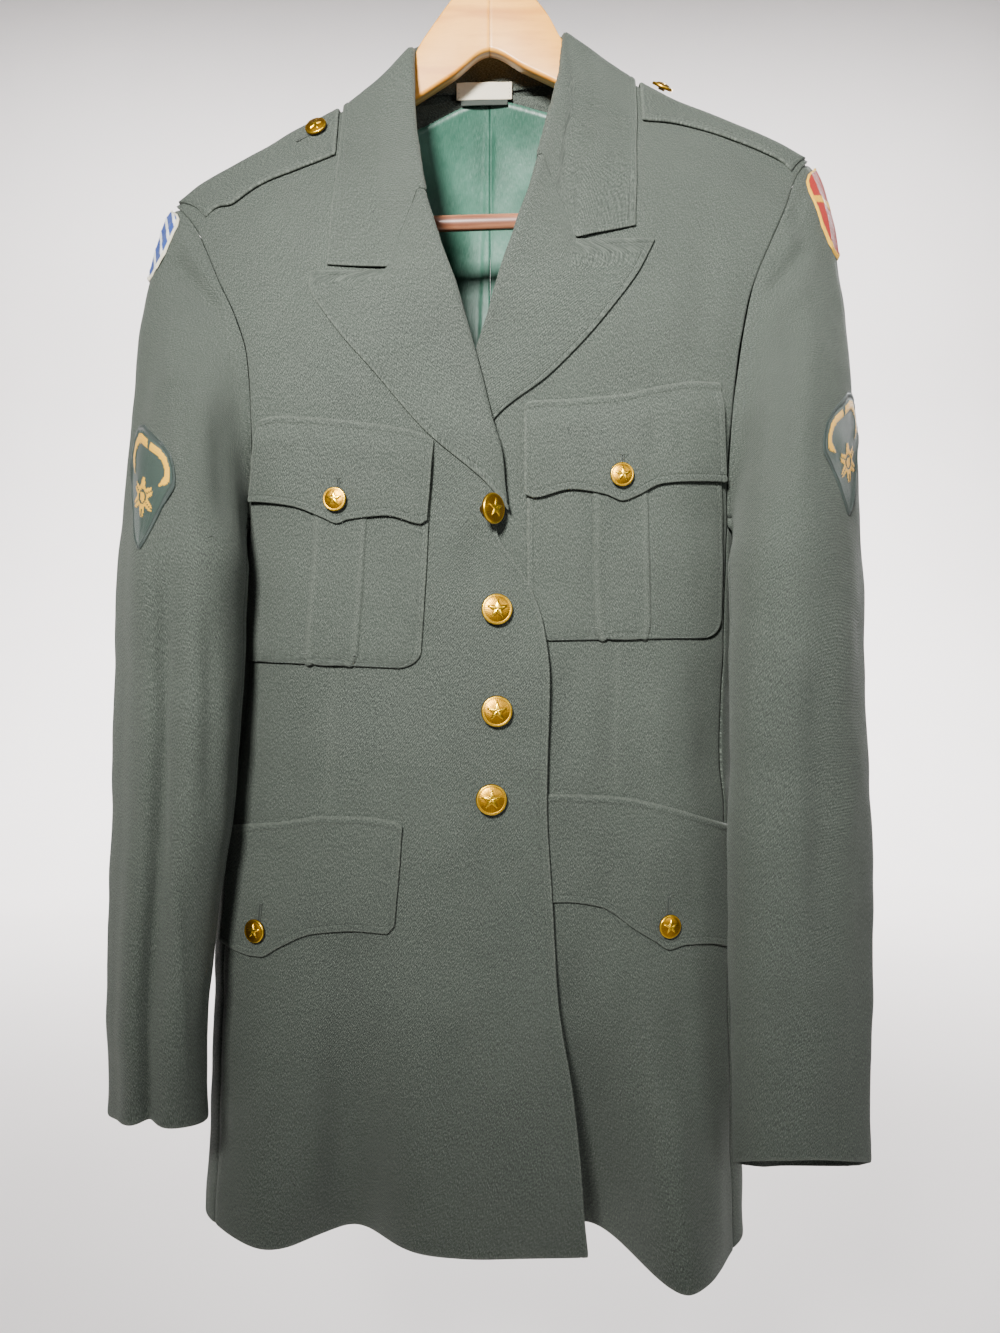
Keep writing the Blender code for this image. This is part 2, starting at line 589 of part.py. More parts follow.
def back(name, side, armhole):
    """Half of the back, from the side seam to the centre back seam."""
    centre = 0.5 * SEAM_GAP * side
    outer = outer_edge(side, armhole, read(BACK_HEM, seam_x(side, HEM_HEIGHT), 1), SEAM_GAP)

    def middle(t):
        hem = read(BACK_HEM, centre, 1)
        neck = ridge(0) - BACK_NECK_DROP
        return centre, split_height(t, hem, UNDERARM, neck)

    def bottom(s):
        x = outer(0)[0] + (centre - outer(0)[0]) * s
        return x, read(BACK_HEM, x, 1)

    def top(s):
        x = outer(1)[0] + (centre - outer(1)[0]) * s
        share = max(0.0, 1 - (x / NECK_HALF) ** 2)
        return x, ridge(x) - BACK_NECK_DROP * share ** 0.7
    pairs = coons(bottom, top, outer, middle, BACK_ACROSS, BACK_UP)
    grid = [[place(x, z, BACK) for x, z in row] for row in pairs]
    if side == LEFT:
        grid = [row[::-1] for row in grid]
    return wall(name, grid, CLOTH, "wool", limit=keep_behind)


def side_panel(name, side):
    """Under the arm, from the front's seam round to the back's."""
    rows = []
    for t in steps(10):
        line = []
        for k in steps(8, -1, 1):
            top = UNDERARM - 12 * (1 - k * k)
            x_low = seam_x(side, HEM_HEIGHT)
            z = read(HEM if k < 0 else BACK_HEM, x_low, 1) * (1 - t) + top * t
            centre, half, front_depth, back_depth, square = (read(TORSO, z, c) for c in range(1, 6))
            start = math.acos(SEAM_AT ** (square / 2))
            angle = k * start * (1 - SEAM_GAP / 14)
            depth = front_depth if k < 0 else back_depth
            x = centre + side * half * math.cos(angle) ** (2 / square)
            y = math.copysign(depth * abs(math.sin(angle)) ** (2 / square), k)
            line.append(Vector((x, y, z)))
        rows.append(line if side == RIGHT else line[::-1])
    return wall(name, rows, CLOTH, "wool")


def arm_loop(side, q):
    """Armhole: q 0 is under the arm, 0.25 on the front, 0.5 at the shoulder tip, 0.75 on the back."""
    q %= 1.0
    face = FRONT if q <= 0.5 else BACK
    share = 2 * q if q <= 0.5 else 2 * (1 - q)
    tables = {(LEFT, FRONT): ARMHOLE_LEFT, (RIGHT, FRONT): ARMHOLE_RIGHT,
              (LEFT, BACK): BACK_ARMHOLE_LEFT, (RIGHT, BACK): BACK_ARMHOLE_RIGHT}
    rows = tables[side, face]
    if share > UNDER_SHARE:
        z = UNDERARM + (rows[-1][0] - UNDERARM) * (share - UNDER_SHARE) / (1 - UNDER_SHARE)
        x = read(rows, z, 1) + side * ARMHOLE_GAP
        point = on_front(side, x, z) if face == FRONT else place(x, z, BACK)
        if share > 0.97:
            point.y *= (1 - share) / 0.03
        return point
    k = share / UNDER_SHARE
    return section_point(side, k * face, UNDERARM - UNDER_DIP * (1 - k * k), SEAM_GAP + 1.2)


def section_point(side, k, z, off=0.0):
    """Point on the side of the body at height z. k is -1 at the front seam and 1 at the back seam."""
    centre, half, front_depth, back_depth, square = (read(TORSO, z, c) for c in range(1, 6))
    start = math.acos(SEAM_AT ** (square / 2))
    angle = k * start * (1 - SEAM_GAP / 14)
    depth = front_depth if k < 0 else back_depth
    x = centre + side * (half * math.cos(angle) ** (2 / square) + off)
    return Vector((x, math.copysign(depth * abs(math.sin(angle)) ** (2 / square), k), z))


def clear_of_body(side, point, room):
    """Press a sleeve point out along X until it clears the side of the body."""
    z = min(point.z, UNDERARM)
    centre, half, front_depth, back_depth, square = (read(TORSO, z, c) for c in range(1, 6))
    depth = front_depth if point.y < 0 else back_depth
    u = min(1.0, abs(point.y) / depth)
    edge = half * (1 - u ** square) ** (1 / square) if u < 1 else 0.0
    if u < 1 and side * (point.x - centre) < edge + room:
        point.x = centre + side * (edge + room)
    return point


def sleeve_ring(side, q, z):
    rows = SLEEVE_LEFT if side == LEFT else SLEEVE_RIGHT
    cx, cy, long_half, short_half, turn, square = (read(rows, z, c) for c in range(1, 7))
    around = math.pi / 2 - 2 * math.pi * q
    cos, sin = math.cos(around), math.sin(around)
    along = long_half * math.copysign(abs(cos) ** (2 / square), cos)
    over = short_half * math.copysign(abs(sin) ** (2 / square), sin)
    tau = math.radians(turn)
    x = cx - side * (along * math.sin(tau) + over * math.cos(tau))
    y = cy - along * math.cos(tau) + over * math.sin(tau)
    return Vector((x, y, z)), Vector((cx, cy, z))


def cuff_height(side, q):
    """Height of the cuff line at a place round the sleeve; it slants down towards the back."""
    height, middle, fall = CUFFS[side]
    point, _ = sleeve_ring(side, q, height)
    return height - (point.y - middle) * fall


def sleeve_point(side, q, w):
    """Outer face of a sleeve: w 0 at the armhole, 1 just under the arm, 2 at the cuff."""
    if w > 1:
        z = RING_TOP + (cuff_height(side, q) - RING_TOP) * (w - 1)
        point, middle = sleeve_ring(side, q, z)
    else:
        start = arm_loop(side, q)
        end, middle = sleeve_ring(side, q, RING_TOP)
        low, _ = sleeve_ring(side, q, RING_TOP - SLOPE_STEP)
        size = (end - start).length
        swing = min(1.0, size / HEAD_LENGTH)
        leave = Vector((side * HEAD_OUT, -HEAD_SPREAD * math.sin(2 * math.pi * q), -HEAD_FALL)) * swing
        arrive = (low - end) / SLOPE_STEP * size
        point = (start * (2 * w ** 3 - 3 * w ** 2 + 1) + leave * (w ** 3 - 2 * w ** 2 + w)
                 + end * (3 * w ** 2 - 2 * w ** 3) + arrive * (w ** 3 - w ** 2))
        middle = Vector((middle.x, middle.y, point.z))
    for which, centre, half, deep, top, full in TROUGHS:
        if which == side:
            away = (q - centre + 0.5) % 1.0 - 0.5
            amount = deep * ease(top, full, point.z) * math.exp(-(away / half) ** 2)
            inward = middle - point
            if inward.length > 1:
                point = point + inward.normalized() * amount
    if w > 0.02:
        room = BODY_ROOM + POCKET_ROOM * ease(-8, -30, point.y)
        point = clear_of_body(side, point, room * min(1.0, 0.5 + 5 * w) + SEAM_GAP)
    return point


def between(values, key):
    """Position of a key in a list: the index before it and the share of the way on."""
    i = max(n for n in range(len(values) - 1) if values[n] <= key)
    return i, (key - values[i]) / (values[i + 1] - values[i])


def sleeve_facet(side, q, w):
    """Point on the flat faces that the sleeve is made of."""
    i, s = between(TOP_SLEEVE, q)
    j, t = between(SLEEVE_DOWN, w)
    corners = [sleeve_point(side, TOP_SLEEVE[i + m], SLEEVE_DOWN[j + n]) for n in (0, 1) for m in (0, 1)]
    low = corners[0] + (corners[1] - corners[0]) * s
    high = corners[2] + (corners[3] - corners[2]) * s
    return low + (high - low) * t


def sleeve_normal(side, q, w):
    step = 0.012
    over = sleeve_point(side, q + step, w) - sleeve_point(side, q - step, w)
    down = sleeve_point(side, q, min(2, w + step)) - sleeve_point(side, q, max(0, w - step))
    return over.cross(down).normalized() * -side


def on_sleeve(side, q, w, lift):
    return sleeve_facet(side, q, w) + sleeve_normal(side, q, w) * lift


def sleeve(name, side, places):
    """Part of a sleeve between two of its lengthwise seams."""
    around = [places[0] + SLEEVE_SEAM, *places[1:-1], places[-1] - SLEEVE_SEAM]
    grid = [[sleeve_point(side, q, w) for q in around] for w in SLEEVE_DOWN]
    across = [[sleeve_normal(side, q, w) for q in around] for w in SLEEVE_DOWN]
    return wall(name, grid, CLOTH, "wool", across=across)


def lapel(name, side, rows, roll, gorge_gap):
    """From the roll line, where the cloth turns over, out to the edge that lies on the front."""
    grid = []
    for t in LAPEL_UP:
        roll_x, roll_z, mid_x, mid_z, edge_x, edge_z = (read(rows, t, c) for c in range(1, 7))
        lower = gorge_gap * ease(0.8, 1, t)
        r = roll(t)
        axis_x = roll_x + side * r
        row = []
        for turn in ROLL_TURNS:
            turn = math.radians(turn)
            x = axis_x - side * r * math.sin(turn)
            lift = on_front(side, axis_x, roll_z - lower, r - CLOTH / 2)
            back_out = on_front(side, axis_x, roll_z - lower, r - CLOTH / 2 + 1) - lift
            point = lift - back_out * r * math.cos(turn)
            point.x += x - axis_x
            row.append(point)
        top = 2 * r - CLOTH / 2
        for share in (0.33, 0.66, 1.0):
            x = axis_x + (mid_x - axis_x) * share
            z = roll_z + (mid_z - roll_z) * share - lower
            lift = top + (LIE + LAPEL_SWELL - top) * share ** 0.7
            row.append(on_front(side, x, z, max(LIE, lift)))
        for share in (0.34, 0.67, 1.0):
            x = mid_x + (edge_x - mid_x) * share
            z = mid_z + (edge_z - mid_z) * share - lower
            row.append(on_front(side, x, z, LIE + LAPEL_SWELL * (1 - share)))
        grid.append(row if side == LEFT else row[::-1])
    return wall(name, grid, CLOTH, "wool", out=CLOTH / 2)


def roll_left(t):
    return ROLL_LEFT * (0.45 + 0.55 * ease(0, 0.3, t))


def roll_right(t):
    return ROLL_RIGHT + (ROLL_LEFT - ROLL_RIGHT) * ease(0.5, 0.8, t)


def collar(name):
    """Stand, fold and fall in one wall, round the neck."""
    grid = []
    r = ROLL_LEFT
    top = 2 * r - CLOTH / 2
    for v in COLLAR_ROUND:
        seam_x, seam_z, fold_x, fold_y, fold_z, mid_x, mid_z, edge_x, edge_z = (
            read(COLLAR, v, c) for c in range(1, 10))
        face = FRONT if v <= RIDGE_PLACES[0] or v >= RIDGE_PLACES[1] else BACK
        flat = ease(0.27, 0.12, v) + ease(0.73, 0.88, v)
        lift = LIE + COLLAR_BACK_LIFT * ease(0.37, 0.42, v) * ease(0.63, 0.58, v)
        seam = place(seam_x, seam_z, face, 0.1 * (1 - flat) - CLOTH / 2 * flat)
        level = place(seam_x, seam_z, face, r - CLOTH / 2)
        lying = place(fold_x, fold_z, face, r - CLOTH / 2)
        standing = Vector((fold_x, fold_y, fold_z))
        fold = standing * (1 - flat) + lying * flat
        up = (standing - seam).normalized() * (1 - flat) + (lying - level).normalized() * flat
        up = up.normalized()
        middle = place(mid_x, mid_z, face, lift + COLLAR_SWELL)
        ahead, behind = min(1.0, v + 0.01), max(0.0, v - 0.01)
        along = Vector([read(COLLAR, ahead, c) - read(COLLAR, behind, c) for c in (3, 4, 5)])
        out = up.cross(along).normalized()
        if out.dot(middle - fold) < 0:
            out = -out
        normal = (lying - place(fold_x, fold_z, face, r - CLOTH / 2 - 1)).normalized()
        out = out * (1 - flat) + normal * flat
        out = (out - up * out.dot(up)).normalized()
        axis = fold - up * r
        base = seam + up * 0.3
        row = [base, base + (axis - out * r - base) * 0.5]
        for turn in FOLD_TURNS:
            turn = math.radians(turn)
            row.append(axis - out * r * math.cos(turn) + up * r * math.sin(turn))
        fall_top = axis + out * r
        for share in (0.33, 0.66):
            straight = fall_top + (middle - fall_top) * share
            x = axis.x + (mid_x - axis.x) * share
            z = axis.z + (mid_z - axis.z) * share
            lying = place(x, z, face, top + (lift + COLLAR_SWELL - top) * share)
            row.append(straight + (lying - straight) * flat)
        row.append(middle)
        for share in (0.5, 1.0):
            x = mid_x + (edge_x - mid_x) * share
            z = mid_z + (edge_z - mid_z) * share
            row.append(place(x, z, face, lift + COLLAR_SWELL * (1 - share)))
        grid.append(row)
    return wall(name, grid, CLOTH, "wool", out=CLOTH / 2)


def epaulette(name, side, rows):
    """Strap over the shoulder, from the armhole seam to the collar."""
    fronts = ARMHOLE_LEFT if side == LEFT else ARMHOLE_RIGHT
    backs = BACK_ARMHOLE_LEFT if side == LEFT else BACK_ARMHOLE_RIGHT
    grid = []
    for t in STRAP_ALONG:
        front_drop, back_drop = read(rows, t, 1), read(rows, t, 2)
        row = []
        for k in STRAP_ACROSS:
            face = FRONT if k <= 0 else BACK
            drop = (front_drop if k < 0 else back_drop) * abs(k) ** 1.7
            seam = read(fronts if k <= 0 else backs, fronts[-1][0] - drop, 1) - side * 1.5
            x = seam + (side * EPAULETTE_INNER - seam) * t
            row.append(place(x, ridge(x) - drop, face, EPAULETTE_LIFT))
        grid.append(row if side == LEFT else row[::-1])
    return wall(name, grid, EPAULETTE_THICK, "wool", out=EPAULETTE_THICK / 2)


def flap(name, side, rows, over_patch):
    """Pocket flap: sewn along its top edge, and lying over the patch pocket lower down."""
    grid = []
    for t in FLAP_DOWN:
        row = []
        for s in FLAP_ACROSS:
            x = read(rows, s, 1) + (read(rows, s, 3) - read(rows, s, 1)) * t
            z = read(rows, s, 2) + (read(rows, s, 4) - read(rows, s, 2)) * t
            lift = LIE + (over_patch - LIE) * ease(0.02, 0.3, t)
            row.append(on_front(side, x, z, lift))
        grid.append(row[::-1])
    return wall(name, grid, CLOTH, "wool", out=CLOTH / 2)


def patch(name, side, rows, pleats):
    """Patch pocket with rounded lower corners and a box pleat raised down its middle."""
    first, second = pleats
    step = PLEAT_STEP
    creases = [first - step, first + step, 0.5 * (first + second), second - step, second + step]
    across = PATCH_OUTER[side] + creases + PATCH_INNER[side]
    grid = []
    for t in PATCH_DOWN:
        left, right, low_left, low_right = (read(rows, t, c) for c in range(1, 5))
        length = rows[0][3] - rows[-1][3]
        above = (1 - t) * length
        inset = 0.0
        if above < PATCH_CORNER:
            inset = PATCH_CORNER - math.sqrt(max(0.0, PATCH_CORNER ** 2 - (PATCH_CORNER - above) ** 2))
        row = []
        for s in across:
            x = left + inset + (right - left - 2 * inset) * s
            z = low_left + (low_right - low_left) * s
            raised = PLEAT_RISE if first < s < second else 0.0
            row.append(on_front(side, x, z, LIE + raised))
        grid.append(row[::-1])
    return wall(name, grid, CLOTH, "wool", out=CLOTH / 2)


def button(name, centre, out, radius, shank):
    """Domed button with a rim, on a shank that reaches down to the cloth."""
    profile = [(SHANK_SHARE, -shank)] + [(share, height * radius) for share, height in BUTTON_PROFILE]
    out = out.normalized()
    right = Vector((0, 0, 1)).cross(out).normalized()
    up = out.cross(right)
    mesh = bmesh.new()
    rings = []
    for share, height in profile:
        ring = []
        for n in range(BUTTON_SIDES):
            angle = 2 * math.pi * n / BUTTON_SIDES
            spot = centre + out * height + (right * math.cos(angle) + up * math.sin(angle)) * radius * share
            ring.append(mesh.verts.new(spot * MM))
        rings.append(ring)
    for low, high in zip(rings, rings[1:]):
        for n in range(BUTTON_SIDES):
            m = (n + 1) % BUTTON_SIDES
            mesh.faces.new((low[n], low[m], high[m], high[n]))
    mesh.faces.new(rings[0][::-1])
    mesh.faces.new(rings[-1])
    return finish(name, mesh, "gold")


def flat_button(name, side, x, z, radius, height, turn):
    base = on_front(side, x, z)
    out = on_front(side, x, z, 1.0) - base
    tilt = math.radians(turn)
    swung = Vector((out.x * math.cos(tilt) - out.y * math.sin(tilt),
                    out.x * math.sin(tilt) + out.y * math.cos(tilt), out.z))
    return button(name, base + out * height, swung, radius, height - SHANK_REST[name])


def shoulder_button(name, x, drop, radius):
    base = place(x, ridge(x) - drop, FRONT)
    out = place(x, ridge(x) - drop, FRONT, 1.0) - base
    rest = EPAULETTE_LIFT + EPAULETTE_THICK / 2 + SHOULDER_SHANK_GAP
    return button(name, base + out * (rest + SHOULDER_SHANK), out, radius, SHOULDER_SHANK)


def badge(name, side, q, w, outline, size, look, rest):
    """Sewn badge on a sleeve."""
    thick = BADGE_THICK
    around = (sleeve_point(side, q + 0.01, w) - sleeve_point(side, q - 0.01, w)).length / 0.02
    along = (sleeve_point(side, q, w + 0.01) - sleeve_point(side, q, w - 0.01)).length / 0.02
    grid = []
    for height, ahead, behind in outline:
        row = []
        for s in steps(BADGE_STEPS):
            shift = size * (-ahead + (ahead + behind) * s)
            row.append(on_sleeve(side, q + shift / around, w - size * height / along, rest + thick / 2))
        grid.append(row if side == LEFT else row[::-1])
    return wall(name, grid, thick, look, out=thick / 2)


def lining(name, side):
    """Upper back lining, as far as the neck opening shows it."""
    grid = []
    for t in LINING_DOWN:
        row = []
        for s in LINING_ACROSS:
            x = side * (LINING_SEAM + s * (LINING_HALF - LINING_TAPER * (1 - t) - LINING_SEAM))
            dip = BACK_NECK_DROP * max(0.0, 1 - (x / LINING_NECK) ** 2) ** 0.7
            top = ridge(x) - dip - LINING_BELOW
            z = top + (LINING_LOW - top) * t
            ripple = LINING_RIPPLE * math.sin(x / LINING_WAVE) * ease(0, 0.5, t)
            row.append(place(x, z, BACK, -(CLOTH + LINING_ROOM + abs(ripple))))
        grid.append(row if side == RIGHT else row[::-1])
    return wall(name, grid, LINING, "satin", out=0.5 * LINING)


def strip(name, x_from, x_to, high, low, y, thick, look, tilt=0.0):
    """Small flat piece facing the front."""
    mesh = bmesh.new()
    corners = [(x_from, low), (x_to, low + tilt), (x_to, high + tilt), (x_from, high)]
    fronts = [mesh.verts.new(Vector((x, y, z)) * MM) for x, z in corners]
    backs = [mesh.verts.new(Vector((x, y + thick, z)) * MM) for x, z in corners]
    mesh.faces.new(fronts)
    mesh.faces.new(backs[::-1])
    for n in range(4):
        m = (n + 1) % 4
        mesh.faces.new((fronts[n], backs[n], backs[m], fronts[m]))
    return finish(name, mesh, look)


def hanger_top(x):
    if abs(x) <= 54:
        return read(HANGER_TOP, x, 1)
    joined = ridge(x) - UNDER_RIDGE
    blend = ease(54, 70, abs(x))
    edge = read(HANGER_TOP, x, 1) - (abs(x) - 54) * 1.1
    return min(joined, edge * (1 - blend) + joined * blend)


def hanger_arm(name, side):
    """Flat wooden arm with rounded edges, from the middle joint to its end."""
    mesh = bmesh.new()
    rings = []
    round_off = HANGER_ROUND
    for distance in HANGER_ALONG:
        x = side * distance
        high, low = hanger_top(x), read(HANGER_LOW, x, 1)
        half = HANGER_HALF
        if distance == HANGER_END:
            high, low, half = high - 3, low + 3, half - 2
        section = ((-half, low + round_off), (-half, high - round_off), (-half + round_off, high),
                   (half - round_off, high), (half, high - round_off), (half, low + round_off),
                   (half - round_off, low), (-half + round_off, low))
        rings.append([mesh.verts.new(Vector((x, y, z)) * MM) for y, z in section])
    for near, far in zip(rings, rings[1:]):
        for n in range(len(near)):
            m = (n + 1) % len(near)
            mesh.faces.new((near[n], near[m], far[m], far[n]))
    mesh.faces.new(rings[0])
    mesh.faces.new(rings[-1][::-1])
    return finish(name, mesh, "wood")


def rod(name, points, radius, look, sides=12):
    """Round rod through a list of points, with flat ends."""
    curve = bpy.data.curves.new(name, "CURVE")
    curve.dimensions = "3D"
    curve.bevel_depth = radius * MM
    curve.bevel_resolution = sides // 4 - 1
    curve.use_fill_caps = True
    spline = curve.splines.new("POLY")
    spline.points.add(len(points) - 1)
    for spot, point in zip(spline.points, points):
        spot.co = (*(Vector(point) * MM), 1.0)
    item = bpy.data.objects.new(name, curve)
    curve.materials.append(material(name, look))
    bpy.context.collection.objects.link(item)
    return item


def hook(name):
    """Steel hook whose inner bend bears at the origin."""
    ring = HOOK_BEND + HOOK_RADIUS
    points = []
    for n in range(21):
        angle = math.radians(-20 + 220 * n / 20)
        points.append((-ring * math.cos(angle), 0, ring * math.sin(angle) - HOOK_BEND))
    tail = points[-1]
    points += [(tail[0] - 6, 0, tail[2] - 10), (5, 0, tail[2] - 18), (0, 0, tail[2] - 25), (0, 0, -61.6)]
    return rod(name, points, HOOK_RADIUS, "steel", 8)


def clear_scene():
    for item in list(bpy.data.objects):
        bpy.data.objects.remove(item, do_unlink=True)


def build():
    clear_scene()
    front("front_left", LEFT, panel_edge(LEFT), ARMHOLE_LEFT, -464)
    front("front_right", RIGHT, panel_edge(RIGHT), ARMHOLE_RIGHT, -464)
    back("back_left", LEFT, BACK_ARMHOLE_LEFT)
    back("back_right", RIGHT, BACK_ARMHOLE_RIGHT)
    side_panel("side_left", LEFT)
    side_panel("side_right", RIGHT)
    for word, side in (("left", LEFT), ("right", RIGHT)):
        sleeve("top_sleeve_" + word, side, TOP_SLEEVE)
        sleeve("under_sleeve_" + word, side, UNDER_SLEEVE)
        lining("lining_" + word, side)
        hanger_arm("hanger_arm_" + word, side)
    lapel("lapel_left", LEFT, LAPEL_LEFT, roll_left, GORGE_GAP)
    lapel("lapel_right", RIGHT, LAPEL_RIGHT, roll_right, GORGE_GAP)
    collar("collar")
    epaulette("epaulette_left", LEFT, EPAULETTE_LEFT)
    epaulette("epaulette_right", RIGHT, EPAULETTE_RIGHT)
    patch("chest_pocket_left", LEFT, PATCH_LEFT, PLEATS_LEFT)
    patch("chest_pocket_right", RIGHT, PATCH_RIGHT, PLEATS_RIGHT)
    flap("chest_flap_left", LEFT, CHEST_FLAP_LEFT, OVER_CHEST)
    flap("chest_flap_right", RIGHT, CHEST_FLAP_RIGHT, OVER_CHEST)
    flap("lower_flap_left", LEFT, LOWER_FLAP_LEFT, OVER_SKIRT)
    flap("lower_flap_right", RIGHT, LOWER_FLAP_RIGHT, OVER_SKIRT)
    for row in BUTTONS:
        flat_button(*row)
    shoulder_button("button_shoulder_left", -121, 15, 7.9)
    shoulder_button("button_shoulder_right", 122, 2, 7.9)
    for row in BADGES:
        badge(*row)
    strip("label", -24.5, 16.2, -131, -143.5, 22.9, 0.8, "label", 1.2)
    strip("hanging_tab", -21, 13, -144, -147.5, 23.2, 1.0, "dark", 1.2)
    rod("bar", ((-BAR_END, 0, BAR_HEIGHT - BAR_END * BAR_SLOPE),
                (BAR_END, 0, BAR_HEIGHT + BAR_END * BAR_SLOPE)), BAR_RADIUS, "bar", 12)
    hook("hook")


def panel_edge(side):
    """Inner edge of a front: above the break it stops short of the roll."""
    table = INNER_LEFT if side == LEFT else INNER_RIGHT
    gorge = LAPEL_LEFT[-1][2] if side == LEFT else LAPEL_RIGHT[-1][2]
    rows = []
    for z, x in table:
        back_off = (ROLL_LEFT + ROLL_ROOM) * ease(-478, -462, z)
        back_off += (NECK_ROOM - back_off) * ease(gorge, gorge + 25, z)
        rows.append((z, x + side * back_off))
    return rows


build()
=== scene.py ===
"""Looks of a military coat on a wooden hanger.

The forms repeat the tables that the solids are made from, in millimetres, and model them
again as fine cloth: creases, stitching, buttons with relief, badges, lining and wood.
Left and right are the viewer's left and right.
"""

import math

import bpy
import numpy as np
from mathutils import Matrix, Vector


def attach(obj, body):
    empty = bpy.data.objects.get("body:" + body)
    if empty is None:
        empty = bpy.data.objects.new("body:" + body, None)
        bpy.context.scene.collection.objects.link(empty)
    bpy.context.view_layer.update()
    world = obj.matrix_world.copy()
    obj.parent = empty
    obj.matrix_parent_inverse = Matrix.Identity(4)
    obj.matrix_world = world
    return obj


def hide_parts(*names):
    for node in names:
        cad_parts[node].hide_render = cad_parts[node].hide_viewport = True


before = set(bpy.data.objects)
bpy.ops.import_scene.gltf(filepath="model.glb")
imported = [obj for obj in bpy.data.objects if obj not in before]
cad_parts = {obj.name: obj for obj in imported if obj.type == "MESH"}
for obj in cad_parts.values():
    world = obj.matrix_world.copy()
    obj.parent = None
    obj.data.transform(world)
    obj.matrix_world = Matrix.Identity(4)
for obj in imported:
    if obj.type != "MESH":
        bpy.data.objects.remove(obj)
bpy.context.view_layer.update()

MM = 0.001
LEFT = -1
RIGHT = 1
FRONT = -1
BACK = 1

# Thicknesses of the cloth and the lining, and the gap left at each seam
CLOTH = 1.6
LINING = 1.0
SEAM_GAP = 0.35
# Height of a piece's middle above the cloth it lies on, and of a box pleat above its pocket
LIE = 1.7
PLEAT_RISE = 1.1
# How far the right front lies behind the left one
UNDERLAP = 7.0

# Ridge of the shoulders. Columns: x, height
SHOULDER = (
    (-227, -233), (-184, -206), (-132, -177), (-104, -162), (-75, -142), (-55, -126),
    (0, -98), (55, -116), (75, -127), (107, -145), (176, -175), (231, -200))
# Rounding over the hanger, then how fast the cloth reaches the body's full depth below it
RIDGE_HALF = 9.0
RIDGE_FALL = 7.0
DRAPE = 230.0
DRAPE_POWER = 1.7

# Sections of the body. Columns: height, centre x, half width, front depth, back depth, squareness
TORSO = (
    (-985, -11, 194, 82, 84, 2.6),
    (-900, -10, 190, 88, 84, 2.6),
    (-780, -9, 186, 92, 82, 2.7),
    (-660, -7, 180, 92, 80, 2.8),
    (-540, 0, 173, 90, 82, 2.9),
    (-470, 1, 174, 88, 84, 2.9),
    (-410, 2, 205, 88, 84, 2.8),
    (-320, 2, 262, 88, 84, 2.7),
    (-180, 2, 330, 88, 84, 2.8))

# Large folds of the body. Columns: face, side (0 is both), x at the hem, half width,
# push at the hem, height where it ends
FOLDS = (
    (FRONT, LEFT, -92, 30, 40, -690),
    (FRONT, LEFT, 0, 40, -6, -760),
    (FRONT, RIGHT, 66, 34, 44, -760),
    (FRONT, RIGHT, 126, 30, -38, -790),
    (FRONT, LEFT, -150, 24, -6, -800),
    (BACK, 0, -70, 30, -16, -700),
    (BACK, 0, 5, 26, 10, -700),
    (BACK, 0, 80, 32, -18, -720))
HEM_HEIGHT = -950.0

# Height of the underarm, and the share of the half width where the side seams run
UNDERARM = -470.0
SEAM_AT = 0.93

# Hem of the fronts and the side. Columns: x, height
HEM = (
    (-215, -944), (-150, -952), (-92, -950), (0, -950), (64, -953), (130, -964), (170, -966), (190, -954))
BACK_HEM = ((-215, -944), (0, -950), (190, -952))

# Inner edge of each front: front edge, roll line, then the neck seam. Columns: height, x
INNER_LEFT = (
    (-950, 65), (-922, 62), (-893, 60), (-846, 55), (-783, 45), (-716, 41), (-651, 37.5),
    (-574, 39.5), (-541, 36), (-515, 28), (-499, 18), (-488, 10), (-477, 5), (-464, 10),
    (-457, 12), (-431, 9.5), (-401, 1.5), (-355, -10), (-310, -24), (-272, -35),
    (-248, -42.5), (-215, -53), (-185, -63), (-160, -70.5), (-142, -75))
INNER_RIGHT = (
    (-950, 25), (-846, 12), (-700, -2), (-600, -6), (-540, -12), (-500, -20), (-464, -26),
    (-440, -24), (-401, -18), (-354, -7), (-314, 6), (-266, 20), (-223, 32.5),
    (-190, 46), (-160, 60), (-140, 69), (-127, 75))

# Armhole seam on the front and on the back. Columns: height, x
ARMHOLE_LEFT = (
    (-470, -161), (-440, -159), (-412, -158.5), (-388, -159), (-357, -162), (-327, -172),
    (-303, -184), (-277, -196), (-254, -208), (-233, -226))
ARMHOLE_RIGHT = (
    (-470, 163), (-438, 161), (-401, 162), (-360, 167), (-316, 176), (-301, 181),
    (-272, 194), (-244, 207), (-217, 218), (-200, 230))
BACK_ARMHOLE_LEFT = (
    (-470, -161), (-430, -163), (-380, -170), (-320, -180), (-270, -197), (-233, -226))
BACK_ARMHOLE_RIGHT = (
    (-470, 163), (-430, 165), (-370, 172), (-300, 183), (-245, 203), (-200, 230))

# Dip of the neck seam at the back, and half its width
BACK_NECK_DROP = 38.0
NECK_HALF = 75.0

# Lapels. Columns: place along the roll, roll x and height, middle x and height, edge x and height
LAPEL_LEFT = (
    (0.00, 12, -457, 12.5, -460, 13, -463),
    (0.12, 9.5, -431, 5, -438, -1, -445),
    (0.26, 2, -403, -19, -414, -40, -412),
    (0.45, -8, -362, -38, -375, -72, -375),
    (0.65, -20, -322, -58, -338, -100, -342),
    (0.83, -31, -286, -68, -312, -119, -311),
    (1.00, -42.5, -249, -67.5, -304, -118, -301))
LAPEL_RIGHT = (
    (0.00, -26, -464, -25.5, -465.5, -25, -467),
    (0.12, -24, -440, -20, -446, -15, -442),
    (0.26, -18, -401, -8, -409, 3, -403),
    (0.42, -9, -362, 14, -374, 40, -373),
    (0.58, 2, -328, 36, -345, 72, -340),
    (0.78, 14, -288, 52, -308, 99, -303),
    (1.00, 32.5, -224, 58, -285, 110, -280))
